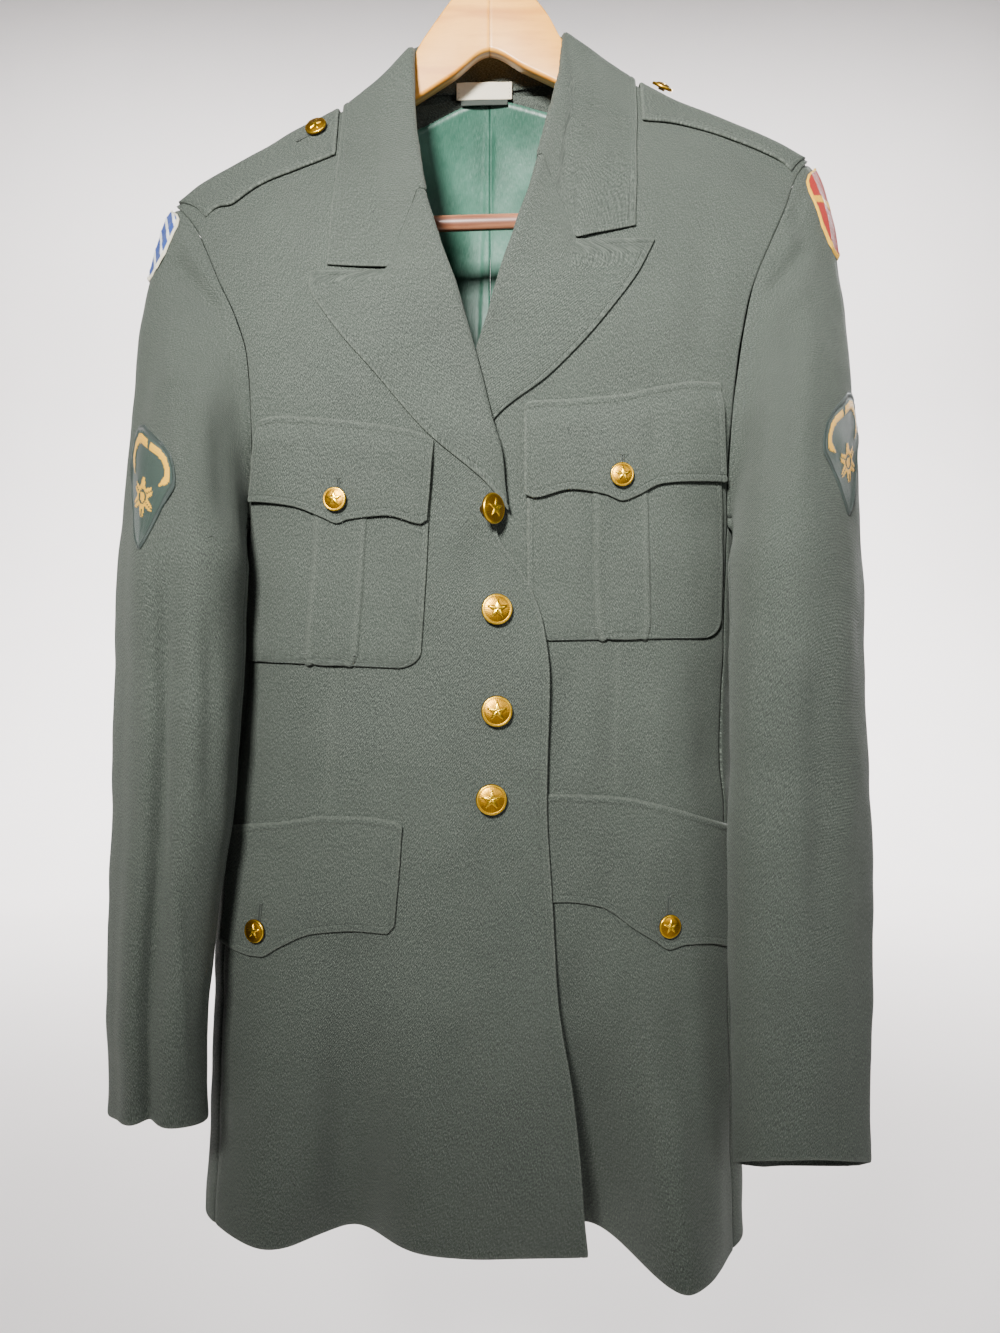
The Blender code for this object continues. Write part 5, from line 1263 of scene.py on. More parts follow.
def flap(name, side, rows, over_patch, groups):
    """Pocket flap: sewn along its top edge, and lying over what is below it."""
    wide = abs(rows[-1][1] - rows[0][1])
    s = spread(wide, 56)[None, :]
    height = np.abs(read(rows, s[0], 2) - read(rows, s[0], 4))
    t = spread(height, 26).T
    s = np.broadcast_to(s, t.shape)
    x = read(rows, s, 1) + (read(rows, s, 3) - read(rows, s, 1)) * t
    z = read(rows, s, 2) + (read(rows, s, 4) - read(rows, s, 2)) * t
    grid = on_front(side, x, z, LIE + (over_patch - LIE) * ease(0.02, 0.3, t))
    out = facing(grid, FRONT)
    grid = crease(grid, out, groups)
    lift, wear = edge_lift(grid, ("start", "end", "high"))
    down = lengths(grid, 0)
    top = 0.55 * ease(0, 1.0, down) * ease(5.2, 3.9, down) - 0.35 * np.exp(-((down - 4.6) / 0.8) ** 2)
    lift = np.where(down < 5.6, top, lift)
    grid = grid + out * (lift + CLOTH / 2)[..., None]
    piece = shell(grid, out, CLOTH, ("start", "end", "low", "high"), np.maximum(wear, ease(2, 0, down)))
    piece.make(name, ("wool",), "wool", name)
    threads = Piece()
    stitches(threads, grid, out, "low", 1, 1, 4.6)
    for run in ("start", "end"):
        stitches(threads, grid, out, run, 5, INSET)
    stitches(threads, grid, out, "high", INSET, INSET)
    threads.make("stitches_" + name, ("thread",), "wool")


def patch(name, side, rows, pleats, groups):
    """Patch pocket with rounded lower corners and a box pleat raised down its middle."""
    first, second = pleats
    wide = rows[0][2] - rows[0][1]
    edge = PLEAT_EDGE / wide
    extra = [p + k * edge for p in pleats for k in (-2, -1, -0.4, 0, 0.4, 1, 2)]
    s = np.unique(np.concatenate([spread(wide, 56), extra]))[None, :]
    length = rows[0][3] - rows[-1][3]
    t = spread(length, 78, False, True)[:, None]
    left, right, low_left, low_right = (read(rows, t, c) for c in range(1, 5))
    above = np.minimum(PATCH_CORNER, (1 - t) * length)
    inset = PATCH_CORNER - np.sqrt(PATCH_CORNER ** 2 - (PATCH_CORNER - above) ** 2)
    x = left + inset + (right - left - 2 * inset) * s
    z = low_left + (low_right - low_left) * s
    raised = ease(first - edge, first + 0.2 * edge, s) * ease(second + edge, second - 0.2 * edge, s)
    dent = sum(np.exp(-((s - p - k * edge) / (0.8 * edge)) ** 2) for p, k in ((first, -1), (second, 1)))
    roll = sum(np.exp(-((s - p + k * 1.6 * edge) / (1.2 * edge)) ** 2) for p, k in ((first, -1), (second, 1)))
    grid = on_front(side, x, z, LIE + PLEAT_RISE * raised - 0.35 * dent + 0.3 * roll)
    out = facing(grid, FRONT)
    grid = crease(grid, out, groups)
    lift, wear = edge_lift(grid, ("start", "end", "high"), 0.35, 0.2)
    wear = np.maximum(wear, 0.6 * roll)
    grid = grid + out * (lift + CLOTH / 2)[..., None]
    piece = shell(grid, out, CLOTH, ("start", "end", "low", "high"), wear)
    piece.make(name, ("wool",), "wool", name)
    threads = Piece()
    for run in ("start", "end", "high"):
        stitches(threads, grid, out, run, 0, INSET, 2.3)
    for place_on in pleats:
        middle = np.interp(place_on, s[0], np.arange(s.shape[1]))
        column = int(round(float(middle)))
        across = unit(grid[-14, column + 1] - grid[-14, column])
        spots = np.array([grid[-14, column] + across * k for k in (-2.2, 0.3, 2.8)])
        dashes(threads, spots, np.tile(across, (3, 1)), np.tile(out[-14, column], (3, 1)), 2.4, 0.35)
    threads.make("stitches_" + name, ("thread",), "wool")


def lining(name, side):
    """Upper back lining, as far as the neck opening shows it."""
    s = np.linspace(0, 1, 66)[None, :]
    t = np.linspace(0, 1, 70)[:, None]
    x = side * (LINING_SEAM + s * (LINING_HALF - LINING_TAPER * (1 - t) - LINING_SEAM))
    dip = BACK_NECK_DROP * np.maximum(0.0, 1 - (x / LINING_NECK) ** 2) ** 0.7
    top = ridge(x) - dip - LINING_BELOW
    z = top + (LINING_LOW - top) * t
    folds = np.zeros(z.shape)
    for where, at, half, deep, slant in LINING_FOLDS:
        if where == side:
            off = np.abs(x) - at - slant * (z + 200)
            folds = folds + deep * np.exp(-(off / half) ** 2) * ease(0, 0.35, t)
    pleat = 1.6 * ease(5.0, 0.6, np.abs(x) - PLEAT_DRIFT * (z + 160) * side)
    grid = place(x, z, BACK, -(CLOTH + LINING_ROOM + 1.4 - folds * 0.5))
    grid = crease(grid, facing(grid, BACK), ("back",), BACK_CREASES, BACK)
    out = -facing(grid, BACK)
    grid = grid + out * (folds * 0.6 + pleat * ease(0, 0.1, t))[..., None]
    out = -facing(grid, BACK)
    piece = shell(grid, out, LINING, ("high",))
    piece.make(name, ("satin",), "satin", name)


def strip(name, x_from, x_to, high, low, y, thick, look, tilt, node):
    """Small woven piece facing the front."""
    s, t = np.linspace(0, 1, 60)[None, :], np.linspace(0, 1, 16)[:, None]
    x = x_from + (x_to - x_from) * s + 0 * t
    z = low + (high - low) * t + tilt * s
    y = y + 0.35 * np.sin(x / 7.0) + 0.25 * np.sin(x / 3.1 + z / 2) * ease(0.2, 1, t)
    grid = stack(x, y, z)
    out = facing(grid, FRONT)
    piece = shell(grid, out, thick, ("start", "end", "low", "high"), edge_lift(grid, ("start", "end"))[1])
    piece.make(name, (look,), look, node)
    if high - low > 10:
        threads = Piece()
        for run in ("start", "end"):
            stitches(threads, grid, out, run, 0.5, 0.5, 1.6)
        threads.make("stitches_" + name, ("thread",), "dark")


def star_edge(turn):
    """Reach of a five-pointed star at an angle, as a share of its tip's."""
    fold = np.abs((turn + math.pi / 5) % (2 * math.pi / 5) - math.pi / 5)
    tip, notch = np.array([1.0, 0.0]), STAR_NOTCH * np.array([math.cos(math.pi / 5), math.sin(math.pi / 5)])
    step = notch - tip
    return (tip[0] * step[1] - tip[1] * step[0]) / (np.cos(fold) * step[1] - np.sin(fold) * step[0])


def button(name, centre, out, radius, shank):
    """Domed button with a beaded rim and a star in relief, on a shank that reaches down to the cloth."""
    out = unit(out)
    right = unit(np.cross([0.0, 0.0, 1.0], out))
    up = np.cross(out, right)
    sides = 96
    turn = np.linspace(0, 2 * math.pi, sides, endpoint=False)[None, :]
    share = np.concatenate([np.linspace(1.0, 0.84, 9), np.linspace(0.82, 0.04, 34)])[:, None]
    dome = 0.10 + 0.29 * np.sqrt(np.maximum(0, 1 - share ** 2))
    rim = 0.030 * ease(0.885, 0.915, share) * ease(1.0, 0.965, share)
    beads = 0.030 * np.exp(-((share - 0.855) / 0.02) ** 2) * (0.5 + 0.5 * np.cos(40 * turn))
    edge = STAR_REACH * star_edge(turn - math.pi / 2)
    star = 0.062 * ease(0, 0.10, edge - share) + 0.02 * ease(0, 0.5, edge - share)
    rays = 0.008 * np.cos(60 * turn) * ease(0.03, 0.10, share - edge) * ease(0.82, 0.78, share)
    relief = rim + beads + star + rays + 0 * turn
    height = (dome + relief - 0.03 * ease(0.9, 0.8, share)) * radius
    ray = right * np.cos(turn)[..., None] + up * np.sin(turn)[..., None]
    spots = centre + out * height[..., None] + ray * (radius * share)[..., None]
    worn = np.clip(relief / 0.05, 0, 1)
    piece = Piece()
    face = piece.add(spots, None, worn)
    piece.face(face[:-1], np.roll(face[:-1], -1, axis=1), np.roll(face[1:], -1, axis=1), face[1:])
    crown = centre + out * (0.39 + 0.082 - 0.03) * radius
    middle = piece.add(np.tile(crown, (sides, 1)), None, np.ones(sides))
    piece.fan(face[-1], middle)
    last = face[0]
    for reach_out, depth in ((0.985, 0.04), (0.95, -0.01), (0.86, -0.04), (0.34, -0.05)):
        last = under_ring(piece, last, centre + out * depth * radius, right, up, turn, reach_out * radius)
    last = under_ring(piece, last, centre - out * shank, right, up, turn, 0.30 * radius)
    last = under_ring(piece, last, centre - out * shank, right, up, turn, 0.02 * radius)
    piece.make(name, ("gold",), "gold", name)


def under_ring(piece, last, centre, right, up, turn, size):
    ring = centre + (right * np.cos(turn[0])[:, None] + up * np.sin(turn[0])[:, None]) * size
    numbers = piece.add(ring, None, np.zeros(len(ring)))
    piece.ring(last, numbers, True)
    return numbers


def crease_move(spot, out, groups):
    """How far one point is moved by the creases."""
    grid = np.asarray(spot, float).reshape(1, 1, 3)
    return float(np.sum((crease(grid, np.asarray(out).reshape(1, 1, 3), groups) - grid)[0, 0] * out))


def flat_button(name, side, x, z, radius, height, turn, groups):
    base = on_front(side, x, z, 0.0)
    out = on_front(side, x, z, 1.0) - base
    tilt = math.radians(turn)
    swung = np.array([out[0] * math.cos(tilt) - out[1] * math.sin(tilt),
                      out[0] * math.sin(tilt) + out[1] * math.cos(tilt), out[2]])
    move = crease_move(base, out, groups)
    button(name, base + out * (height + move), swung, radius, height - SHANK_REST[name])


def shoulder_button(name, x, drop):
    base = place(x, ridge(x) - drop, FRONT, 0.0)
    out = place(x, ridge(x) - drop, FRONT, 1.0) - base
    move = crease_move(base, out, ("body_left" if x < 0 else "body_right",))
    button(name, base + out * (SHOULDER_REST + move), out, SHOULDER_RADIUS, 1.6)


def on_piece(side, x, z, lift):
    """Spot at a height off the body, moved as the creases move it, and the direction out of it."""
    base = on_front(side, x, z, 0.0)
    out = on_front(side, x, z, 1.0) - base
    move = crease_move(base, out, ("body_left" if side == LEFT else "body_right",))
    return base + out * (lift + move), out


def buttonhole(name, side, x, z, direction, length, lift):
    """Worked slit: a ring of thread round a narrow gap, with a bar at its far end; a dark dash in the gap is
    painted shade.
    """
    base, out = on_piece(side, x, z, lift)
    along = np.array([direction[0], 0.0, direction[1]])
    along = unit(along - out * np.dot(along, out))
    over = np.cross(out, along)
    count = 120
    angle = np.linspace(0, 2 * math.pi, count, endpoint=False)
    length_ways = np.cos(angle) * 0.8 + np.clip(2.2 * np.cos(angle), -1, 1) * (length / 2 - 0.8)
    line = base + along * length_ways[:, None] + over * (np.sin(angle) * 0.85)[:, None]
    away = unit(along * np.cos(angle)[:, None] * 0.4 + over * np.sin(angle)[:, None])
    rope = 0.45 * (1 + 0.2 * np.cos(angle * 40))
    piece = Piece()
    rings = [line + (away * math.cos(turn) + out * math.sin(turn)) * rope[:, None]
             for turn in np.linspace(0, 2 * math.pi, 8, endpoint=False)]
    numbers = piece.add(np.stack(rings, axis=0))
    for n in range(8):
        piece.ring(numbers[n], numbers[(n + 1) % 8], True)
    ends = np.array([base + along * (length / 2 + 0.5)])
    dashes(piece, ends, over[None, :], out[None, :], 4.2, 0.55)
    piece.make(name, ("thread_dark",), "wool")
    # Dark dash in the slit: painted shade where the cut opens.
    slit = Piece()
    dashes(slit, base[None, :] - out * 0.15, along[None, :], out[None, :], length - 1.0, 0.5)
    slit.make(name + "_slit_shade", ("dark",), "dark")


def pin_hole(name, side, x, z, lift, length):
    # A dark dash that paints the shade inside the hole.
    base, out = on_piece(side, x, z, lift)
    piece = Piece()
    dashes(piece, base[None, :], np.array([[1.0, 0.0, 0.1]]), out[None, :], length, 0.45)
    piece.make(name, ("dark",), "dark")


def snag(name, side, across, down, length):
    """Pulled yarn on a sleeve, at its place in the photograph's pixels."""
    q, w = np.meshgrid(np.linspace(0.05, 0.45, 160), np.linspace(0.7, 1.4, 280))
    grid, out = sleeve_surface(side, q, w)
    to_side, to_foot = seen(grid)
    near = np.unravel_index(np.argmin(np.hypot(to_side - across, to_foot - down)), q.shape)
    base, facing_out = grid[near], out[near]
    along = unit(np.array([1.0, 0.0, 0.12]) - facing_out * np.dot([1.0, 0.0, 0.12], facing_out))
    over = np.cross(facing_out, along)
    spots = np.stack([base + facing_out * 0.35 + along * d + over * v for d, v in SNAG_TUFTS])
    piece = Piece()
    dashes(piece, spots, np.stack([along, unit(along + 0.6 * over), unit(along - 0.5 * over)]),
           np.stack([facing_out] * 3), length, 0.4)
    piece.make(name, ("thread_dark",), "wool")


def badge(name, side, q, w, outline, size, design, slot):
    """Sewn, embroidered badge on a sleeve."""
    spot = sleeve_point(side, np.array([q - 0.01, q + 0.01, q, q]), np.array([w, w, w - 0.01, w + 0.01]))
    around = np.linalg.norm(spot[1] - spot[0]) / 0.02
    along = np.linalg.norm(spot[3] - spot[2]) / 0.02
    table = sorted((row[0], row[1], row[2]) for row in outline)
    heights = np.linspace(table[-1][0], table[0][0], 72)[:, None]
    ahead, behind = read(table, heights, 1), read(table, heights, 2)
    s = np.linspace(0, 1, 58)[None, :]
    shift = -ahead + (ahead + behind) * s
    grid, out = sleeve_surface(side, q + size * shift / around, w - size * heights / along)
    corners = [(-a, h) for h, a, b in outline] + [(b, h) for h, a, b in reversed(outline)]
    corners.append(corners[0])
    rim, share = off_line(shift, heights + 0 * shift, corners)
    zone, relief = design(shift * side, heights + 0 * shift, rim)
    border = ease(0, 1.2, rim) * ease(MERROW + 0.4, MERROW - 0.8, rim)
    ribs = 0.12 * np.cos(share * 2 * math.pi * 170)
    height = 0.95 + 0.55 * border + ribs * border + relief
    raised = grid + out * height[..., None]
    piece = shell(raised, out, 0.9, ("start", "end", "low", "high"), share * 170, zone[:-1, :-1])
    piece.make(name, BADGE_LOOKS[name], slot, name)


def stripes_left(a, h, rim):
    """Blue and white slanted stripes."""
    white = ((a * 0.6 + h * 0.8) % 15.0) < 5.5
    zone = np.where(rim < MERROW, 0, np.where(white, 2, 1))
    return zone, 0.3 * white * (rim > MERROW)


def stripes_right(a, h, rim):
    """Red middle with a yellow chevron."""
    line = np.abs(h + 4 - 0.75 * np.abs(a))
    bar = (line < 3.4) & (rim > MERROW)
    return np.where((rim < MERROW) | bar, 0, 1), 0.3 * bar


def rank(a, h, rim):
    """Gold arch over a rosette of six petals."""
    arch = (rim > 4.6) & (rim < 10.6) & (h > 7)
    away, turn = np.hypot(a, h + 5), np.arctan2(a, h + 5)
    petals = away < 7.5 + 7.0 * np.cos(3 * turn) ** 2
    heart = away < 3.0
    veins = (np.abs(np.sin(3 * turn + math.pi / 2)) > 0.992) & (away > 5.4)
    gold = (arch | petals) & ~(np.abs(away - 4.2) < 0.7) & ~veins
    zone = np.where(rim < MERROW, 0, np.where(gold, 2, 1))
    return zone, 0.55 * gold * (1 - 0.4 * heart)


def hanger_top(x):
    top = read(HANGER_TOP, x, 1)
    joined = ridge(x) - UNDER_RIDGE
    blend = ease(54, 70, np.abs(x))
    outer = np.minimum(joined, (top - (np.abs(x) - 54) * 1.1) * (1 - blend) + joined * blend)
    return np.where(np.abs(x) <= 54, top, outer)


def hanger_arm(name, side):
    """Flat wooden arm with rounded edges, from the middle joint to its end."""
    distance = np.concatenate([[0.1, 0.5, 1.2], np.linspace(2.5, 173, 96), [174.3, 174.7, 176, 180, 185, 189,
                                                                           190.6, 191.6, 192]])
    x = side * distance
    high, low = hanger_top(x), read(HANGER_LOW, x, 1)
    tuck = np.maximum(4.0 * (1 - np.sqrt(1 - np.clip((distance - 188) / 4.2, 0, 1) ** 2)),
                      0.45 * ease(1.0, 0.0, distance))
    high, low, half = high - tuck, low + tuck, HANGER_HALF - tuck * 0.6
    points = []
    for corner, (sign_y, sign_z) in enumerate(((-1, 1), (1, 1), (1, -1), (-1, -1))):
        for turn in np.radians(np.linspace(0, 90, 7)):
            lean = (math.sin(turn), math.cos(turn)) if corner % 2 else (math.cos(turn), math.sin(turn))
            y = sign_y * (half - HANGER_ROUND * (1 - lean[0]))
            edge = high if sign_z > 0 else low
            points.append(stack(x, y, edge - sign_z * HANGER_ROUND * (1 - lean[1])))
    grid = np.stack(points, axis=1)
    piece = Piece()
    closed = np.concatenate([grid, grid[:, :1]], axis=1)
    uv = np.stack([lengths(closed, 1), lengths(closed, 0)], axis=-1)[:, :-1]
    numbers = piece.add(grid, uv)
    for n in range(len(grid) - 1):
        piece.ring(numbers[n], numbers[n + 1], side > 0)
    for row, flip in ((0, side < 0), (-1, side > 0)):
        middle = piece.add(np.tile(grid[row].mean(axis=0), (grid.shape[1], 1)), uv[row])
        piece.fan(numbers[row], middle, not flip)
    piece.make(name, ("wood",), "wood", name)


def rod(name, points, radius, look, sides, node):
    """Round rod through a list of points, with rounded ends."""
    points = np.asarray(points, float)
    along = unit(np.gradient(points, axis=0))
    over = unit(np.cross(along, [0.0, 1.0, 0.0]))
    second = np.cross(along, over)
    travel = np.concatenate([[0], np.cumsum(np.linalg.norm(np.diff(points, axis=0), axis=1))])
    ends = np.minimum(travel, travel[-1] - travel)
    size = radius * np.sqrt(np.clip(1 - (1 - np.clip(ends / (radius * 0.6), 0, 1)) ** 2, 0.02, 1))
    turn = np.linspace(0, 2 * math.pi, sides, endpoint=False)
    grid = (points[:, None] + (over[:, None] * np.cos(turn)[None, :, None]
                               + second[:, None] * np.sin(turn)[None, :, None]) * size[:, None, None])
    piece = Piece()
    uv = np.stack(np.broadcast_arrays(turn[None, :] * radius, travel[:, None]), axis=-1)
    numbers = piece.add(grid, uv)
    for n in range(len(points) - 1):
        piece.ring(numbers[n], numbers[n + 1], True)
    for row, flip in ((0, True), (-1, False)):
        middle = piece.add(np.tile(points[row], (sides, 1)), uv[row])
        piece.fan(numbers[row], middle, flip)
    piece.make(name, (look,), look, node)


def hook_points():
    ring = HOOK_BEND + HOOK_RADIUS
    angles = np.radians(np.linspace(-20, 200, 60))
    points = np.stack([-ring * np.cos(angles), 0 * angles, ring * np.sin(angles) - HOOK_BEND], axis=-1)
    tail = points[-1]
    bends = np.array([tail, (tail[0] - 6, 0, tail[2] - 10), (5, 0, tail[2] - 18), (0, 0, tail[2] - 25),
                      (0, 0, -61.6)])
    away = np.concatenate([[0], np.cumsum(np.linalg.norm(np.diff(bends, axis=0), axis=1))])
    table = np.column_stack([away, bends])
    fine = np.linspace(0, away[-1], 40)[1:]
    neck = np.stack([read(table, fine, k) for k in (1, 2, 3)], axis=-1)
    return np.concatenate([points, neck])


class Look:
    """A procedural material, built up node by node."""

    def __init__(self, name, rough, metal=0.0):
        self.item = bpy.data.materials.new(name)
        self.item.use_nodes = True
        self.tree = self.item.node_tree
        self.shader = self.tree.nodes["Principled BSDF"]
        self.shader.inputs["Roughness"].default_value = rough
        self.shader.inputs["Metallic"].default_value = metal
        self.place = self.node("ShaderNodeTexCoord").outputs["UV"]
        self.solid = self.node("ShaderNodeTexCoord").outputs["Object"]
        self.bumped = None

    def node(self, kind, **values):
        item = self.tree.nodes.new(kind)
        for key, value in values.items():
            setattr(item, key, value)
        return item

    def link(self, start, end):
        self.tree.links.new(start, end)

    def turned(self, source, angle=0.0, stretch=(1, 1, 1)):
        item = self.node("ShaderNodeMapping")
        item.inputs["Rotation"].default_value = (0, 0, math.radians(angle))
        item.inputs["Scale"].default_value = stretch
        self.link(source, item.inputs["Vector"])
        return item.outputs["Vector"]

    def noise(self, source, scale, detail=3.0, rough=0.55):
        item = self.node("ShaderNodeTexNoise")
        item.inputs["Scale"].default_value = scale
        item.inputs["Detail"].default_value = detail
        item.inputs["Roughness"].default_value = rough
        self.link(source, item.inputs["Vector"])
        return item.outputs["Fac"]

    def wave(self, source, period, warp=0.0, warp_scale=1.0):
        """Even bands across X, their period in metres."""
        item = self.node("ShaderNodeTexWave", wave_type="BANDS", bands_direction="X")
        item.inputs["Scale"].default_value = 2 * math.pi / 20 / period
        item.inputs["Distortion"].default_value = warp
        item.inputs["Detail Scale"].default_value = warp_scale
        self.link(source, item.inputs["Vector"])
        return item.outputs["Fac"]

    def attribute(self, name):
        return self.node("ShaderNodeAttribute", attribute_name=name).outputs["Fac"]

    def span(self, value, low, high, to_low=0.0, to_high=1.0):
        item = self.node("ShaderNodeMapRange")
        for key, number in zip(("From Min", "From Max", "To Min", "To Max"), (low, high, to_low, to_high)):
            item.inputs[key].default_value = number
        self.link(value, item.inputs["Value"])
        return item.outputs["Result"]

    def math(self, kind, first, second):
        item = self.node("ShaderNodeMath", operation=kind)
        for socket, value in zip(item.inputs, (first, second)):
            if isinstance(value, float):
                socket.default_value = value
            else:
                self.link(value, socket)
        return item.outputs["Value"]

    def mix(self, share, low, high, kind="MIX"):
        """Colour between two others; each is a colour or another node's output."""
        item = self.node("ShaderNodeMix", data_type="RGBA", blend_type=kind)
        for socket, value in ((item.inputs[0], share), (item.inputs[6], low), (item.inputs[7], high)):
            if isinstance(value, float):
                socket.default_value = value
            elif isinstance(value, tuple):
                socket.default_value = (*value, 1.0)
            else:
                self.link(value, socket)
        return item.outputs[2]

    def bump(self, height, strength, distance):
        item = self.node("ShaderNodeBump")
        item.inputs["Strength"].default_value = strength
        item.inputs["Distance"].default_value = distance
        self.link(height, item.inputs["Height"])
        if self.bumped:
            self.link(self.bumped, item.inputs["Normal"])
        self.bumped = item.outputs["Normal"]

    def done(self, colour, rough=None, sheen=0.0, tint=(1, 1, 1)):
        self.link(colour, self.shader.inputs["Base Color"])
        if rough is not None:
            self.link(rough, self.shader.inputs["Roughness"])
        if self.bumped:
            self.link(self.bumped, self.shader.inputs["Normal"])
        self.shader.inputs["Sheen Weight"].default_value = sheen
        self.shader.inputs["Sheen Roughness"].default_value = 0.45
        self.shader.inputs["Sheen Tint"].default_value = (*tint, 1.0)
        return self.item


def wool():
    """Fulled twill: fine slanting ribs under a short nap, paler where edges rub."""
    look = Look("wool_twill", 0.86)
    ribs = look.wave(look.turned(look.place, 35), TWILL, 2.2, 5.0)
    weft = look.wave(look.turned(look.place, -38), TWILL * 0.8, 2.0, 4.0)
    nap = look.noise(look.place, 1900, 4, 0.7)
    fibres = look.noise(look.turned(look.place, 20, (1, 0.25, 1)), 2600, 2, 0.6)
    cloud = look.noise(look.solid, 11, 4, 0.6)
    drift = look.noise(look.solid, 55, 3, 0.55)
    colour = look.mix(look.span(cloud, 0.32, 0.68), WOOL_DARK, WOOL_LIGHT)
    colour = look.mix(look.span(drift, 0.3, 0.7, 0.0, 0.45), colour, WOOL_GREY)
    melange = look.noise(look.place, 820, 2, 0.75)
    colour = look.mix(look.span(ribs, 0.1, 0.9, 0.0, 0.34), colour, WOOL_DEEP)
    colour = look.mix(look.span(melange, 0.38, 0.60, 0.75, 0.0), colour, WOOL_DEEP)
    colour = look.mix(look.span(fibres, 0.48, 0.70, 0.0, 0.75), colour, WOOL_FIBRE)
    colour = look.mix(look.math("MULTIPLY", look.attribute("wear"), 0.22), colour, WOOL_WORN)
    rough = look.span(nap, 0.2, 0.8, 0.78, 0.96)
    look.bump(look.noise(look.solid, 160, 3, 0.5), 0.16, 0.0016)
    look.bump(ribs, 0.55, 0.00045)
    look.bump(weft, 0.20, 0.0002)
    look.bump(melange, 0.5, 0.0005)
    look.bump(nap, 0.5, 0.00035)
    return look.done(colour, rough, 0.10, (0.72, 0.80, 0.70))


def thread(name, dark, light):
    look = Look(name, 0.7)
    twist = look.noise(look.solid, 2400, 2, 0.6)
    colour = look.mix(look.span(twist, 0.3, 0.7), dark, light)
    look.bump(twist, 0.4, 0.0002)
    return look.done(colour, None, 0.15)


def satin():
    """Warp satin: bright along its folds, with fine lengthwise floats."""
    look = Look("satin_lining", 0.42)
    floats = look.noise(look.turned(look.place, 0, (1, 0.06, 1)), 3200, 3, 0.6)
    cloud = look.noise(look.solid, 20, 3, 0.5)
    crushed = look.noise(look.turned(look.solid, 12, (1, 1, 0.35)), 95, 4, 0.6)
    colour = look.mix(look.span(cloud, 0.35, 0.65), SATIN_DARK, SATIN_LIGHT)
    colour = look.mix(look.span(floats, 0.45, 0.75, 0.0, 0.35), colour, SATIN_FLOAT)
    rough = look.span(floats, 0.2, 0.8, 0.34, 0.52)
    look.bump(crushed, 0.30, 0.0022)
    look.bump(floats, 0.22, 0.00012)
    return look.done(colour, rough, 0.3, (0.5, 0.8, 0.7))


def gold():
    """Gilt brass: bright on the relief, brown in the hollows, finely scratched."""
    look = Look("gilt_brass", 0.28, 1.0)
    worn = look.attribute("wear")
    scratch = look.noise(look.turned(look.solid, 35, (1, 1, 0.15)), 1500, 3, 0.6)
    spots = look.noise(look.solid, 420, 4, 0.65)
    colour = look.mix(look.span(worn, 0.0, 0.55), GOLD_HOLLOW, GOLD_LIGHT)
    colour = look.mix(look.span(spots, 0.55, 0.75, 0.0, 0.45), colour, GOLD_AGED)
    rough = look.math("ADD", look.span(scratch, 0.2, 0.8, 0.16, 0.34), look.span(worn, 0.0, 1.0, 0.12, 0.0))
    look.bump(scratch, 0.08, 0.0001)
    look.bump(spots, 0.12, 0.0002)
    return look.done(colour, rough)


def timber(name, dark, light, ring, rough):
    """Varnished wood with grain along the piece."""
    look = Look(name, rough)
    grain = look.turned(look.solid, 0, (1, 6, 6))
    rings = look.wave(look.turned(look.solid, 90, (0.12, 1, 1)), ring, 5.0, 1.4)
    pores = look.noise(look.turned(look.solid, 0, (0.05, 1, 1)), 2300, 3, 0.6)
    cloud = look.noise(grain, 9, 4, 0.6)
    colour = look.mix(look.span(rings, 0.1, 0.9), light, dark)
    colour = look.mix(look.span(cloud, 0.3, 0.7, 0.0, 0.5), colour, dark)
    colour = look.mix(look.span(pores, 0.55, 0.75, 0.0, 0.35), colour, tuple(0.5 * c for c in dark))
    look.bump(pores, 0.12, 0.0002)
    look.shader.inputs["Coat Weight"].default_value = 0.35
    look.shader.inputs["Coat Roughness"].default_value = 0.22
    return look.done(colour, look.span(cloud, 0.2, 0.8, rough - 0.06, rough + 0.08))


def steel():
    look = Look("plated_steel", 0.26, 1.0)
    drawn = look.noise(look.turned(look.place, 0, (1, 0.04, 1)), 4200, 3, 0.6)
    spots = look.noise(look.solid, 300, 4, 0.6)
    colour = look.mix(look.span(spots, 0.5, 0.75), (0.66, 0.66, 0.68), (0.44, 0.43, 0.42))
    look.bump(drawn, 0.1, 0.00008)
    return look.done(colour, look.span(drawn, 0.2, 0.8, 0.18, 0.38))


def tape(name, dark, light, worn):
    """Close plain weave, for the label and the hanging tab; the dark one also fills buttonhole slits and pin
    holes as painted shade.
    """
    look = Look(name, 0.78)
    warp = look.wave(look.place, 0.00062, 0.6, 2.0)
    weft = look.wave(look.turned(look.place, 90), 0.00062, 0.6, 2.0)
    weave = look.math("MULTIPLY", warp, weft)
    cloud = look.noise(look.solid, 60, 4, 0.6)
    colour = look.mix(look.span(weave, 0.0, 0.8), dark, light)
    colour = look.mix(look.span(cloud, 0.45, 0.72, 0.0, 0.5), colour, worn)
    look.bump(weave, 0.5, 0.0002)
    return look.done(colour, None, 0.12)


def embroidery(name, dark, light, ribbed=False):
    """Stitched thread; the border's threads cross its edge."""
    look = Look(name, 0.62)
    if ribbed:
        strands = look.math("SINE", look.math("MULTIPLY", look.attribute("wear"), 2 * math.pi), 0.0)
        strands = look.span(strands, -1.0, 1.0)
    else:
        strands = look.wave(look.turned(look.place, 64), 0.0006, 0.8, 2.0)
    fuzz = look.noise(look.solid, 1400, 3, 0.6)
    colour = look.mix(look.span(strands, 0.0, 1.0), dark, light)
    colour = look.mix(look.span(fuzz, 0.5, 0.75, 0.0, 0.35), colour, tuple(min(1.0, 1.3 * c) for c in light))
    look.bump(strands, 0.6, 0.0003)
    look.bump(fuzz, 0.2, 0.0002)
    return look.done(colour, None, 0.15)


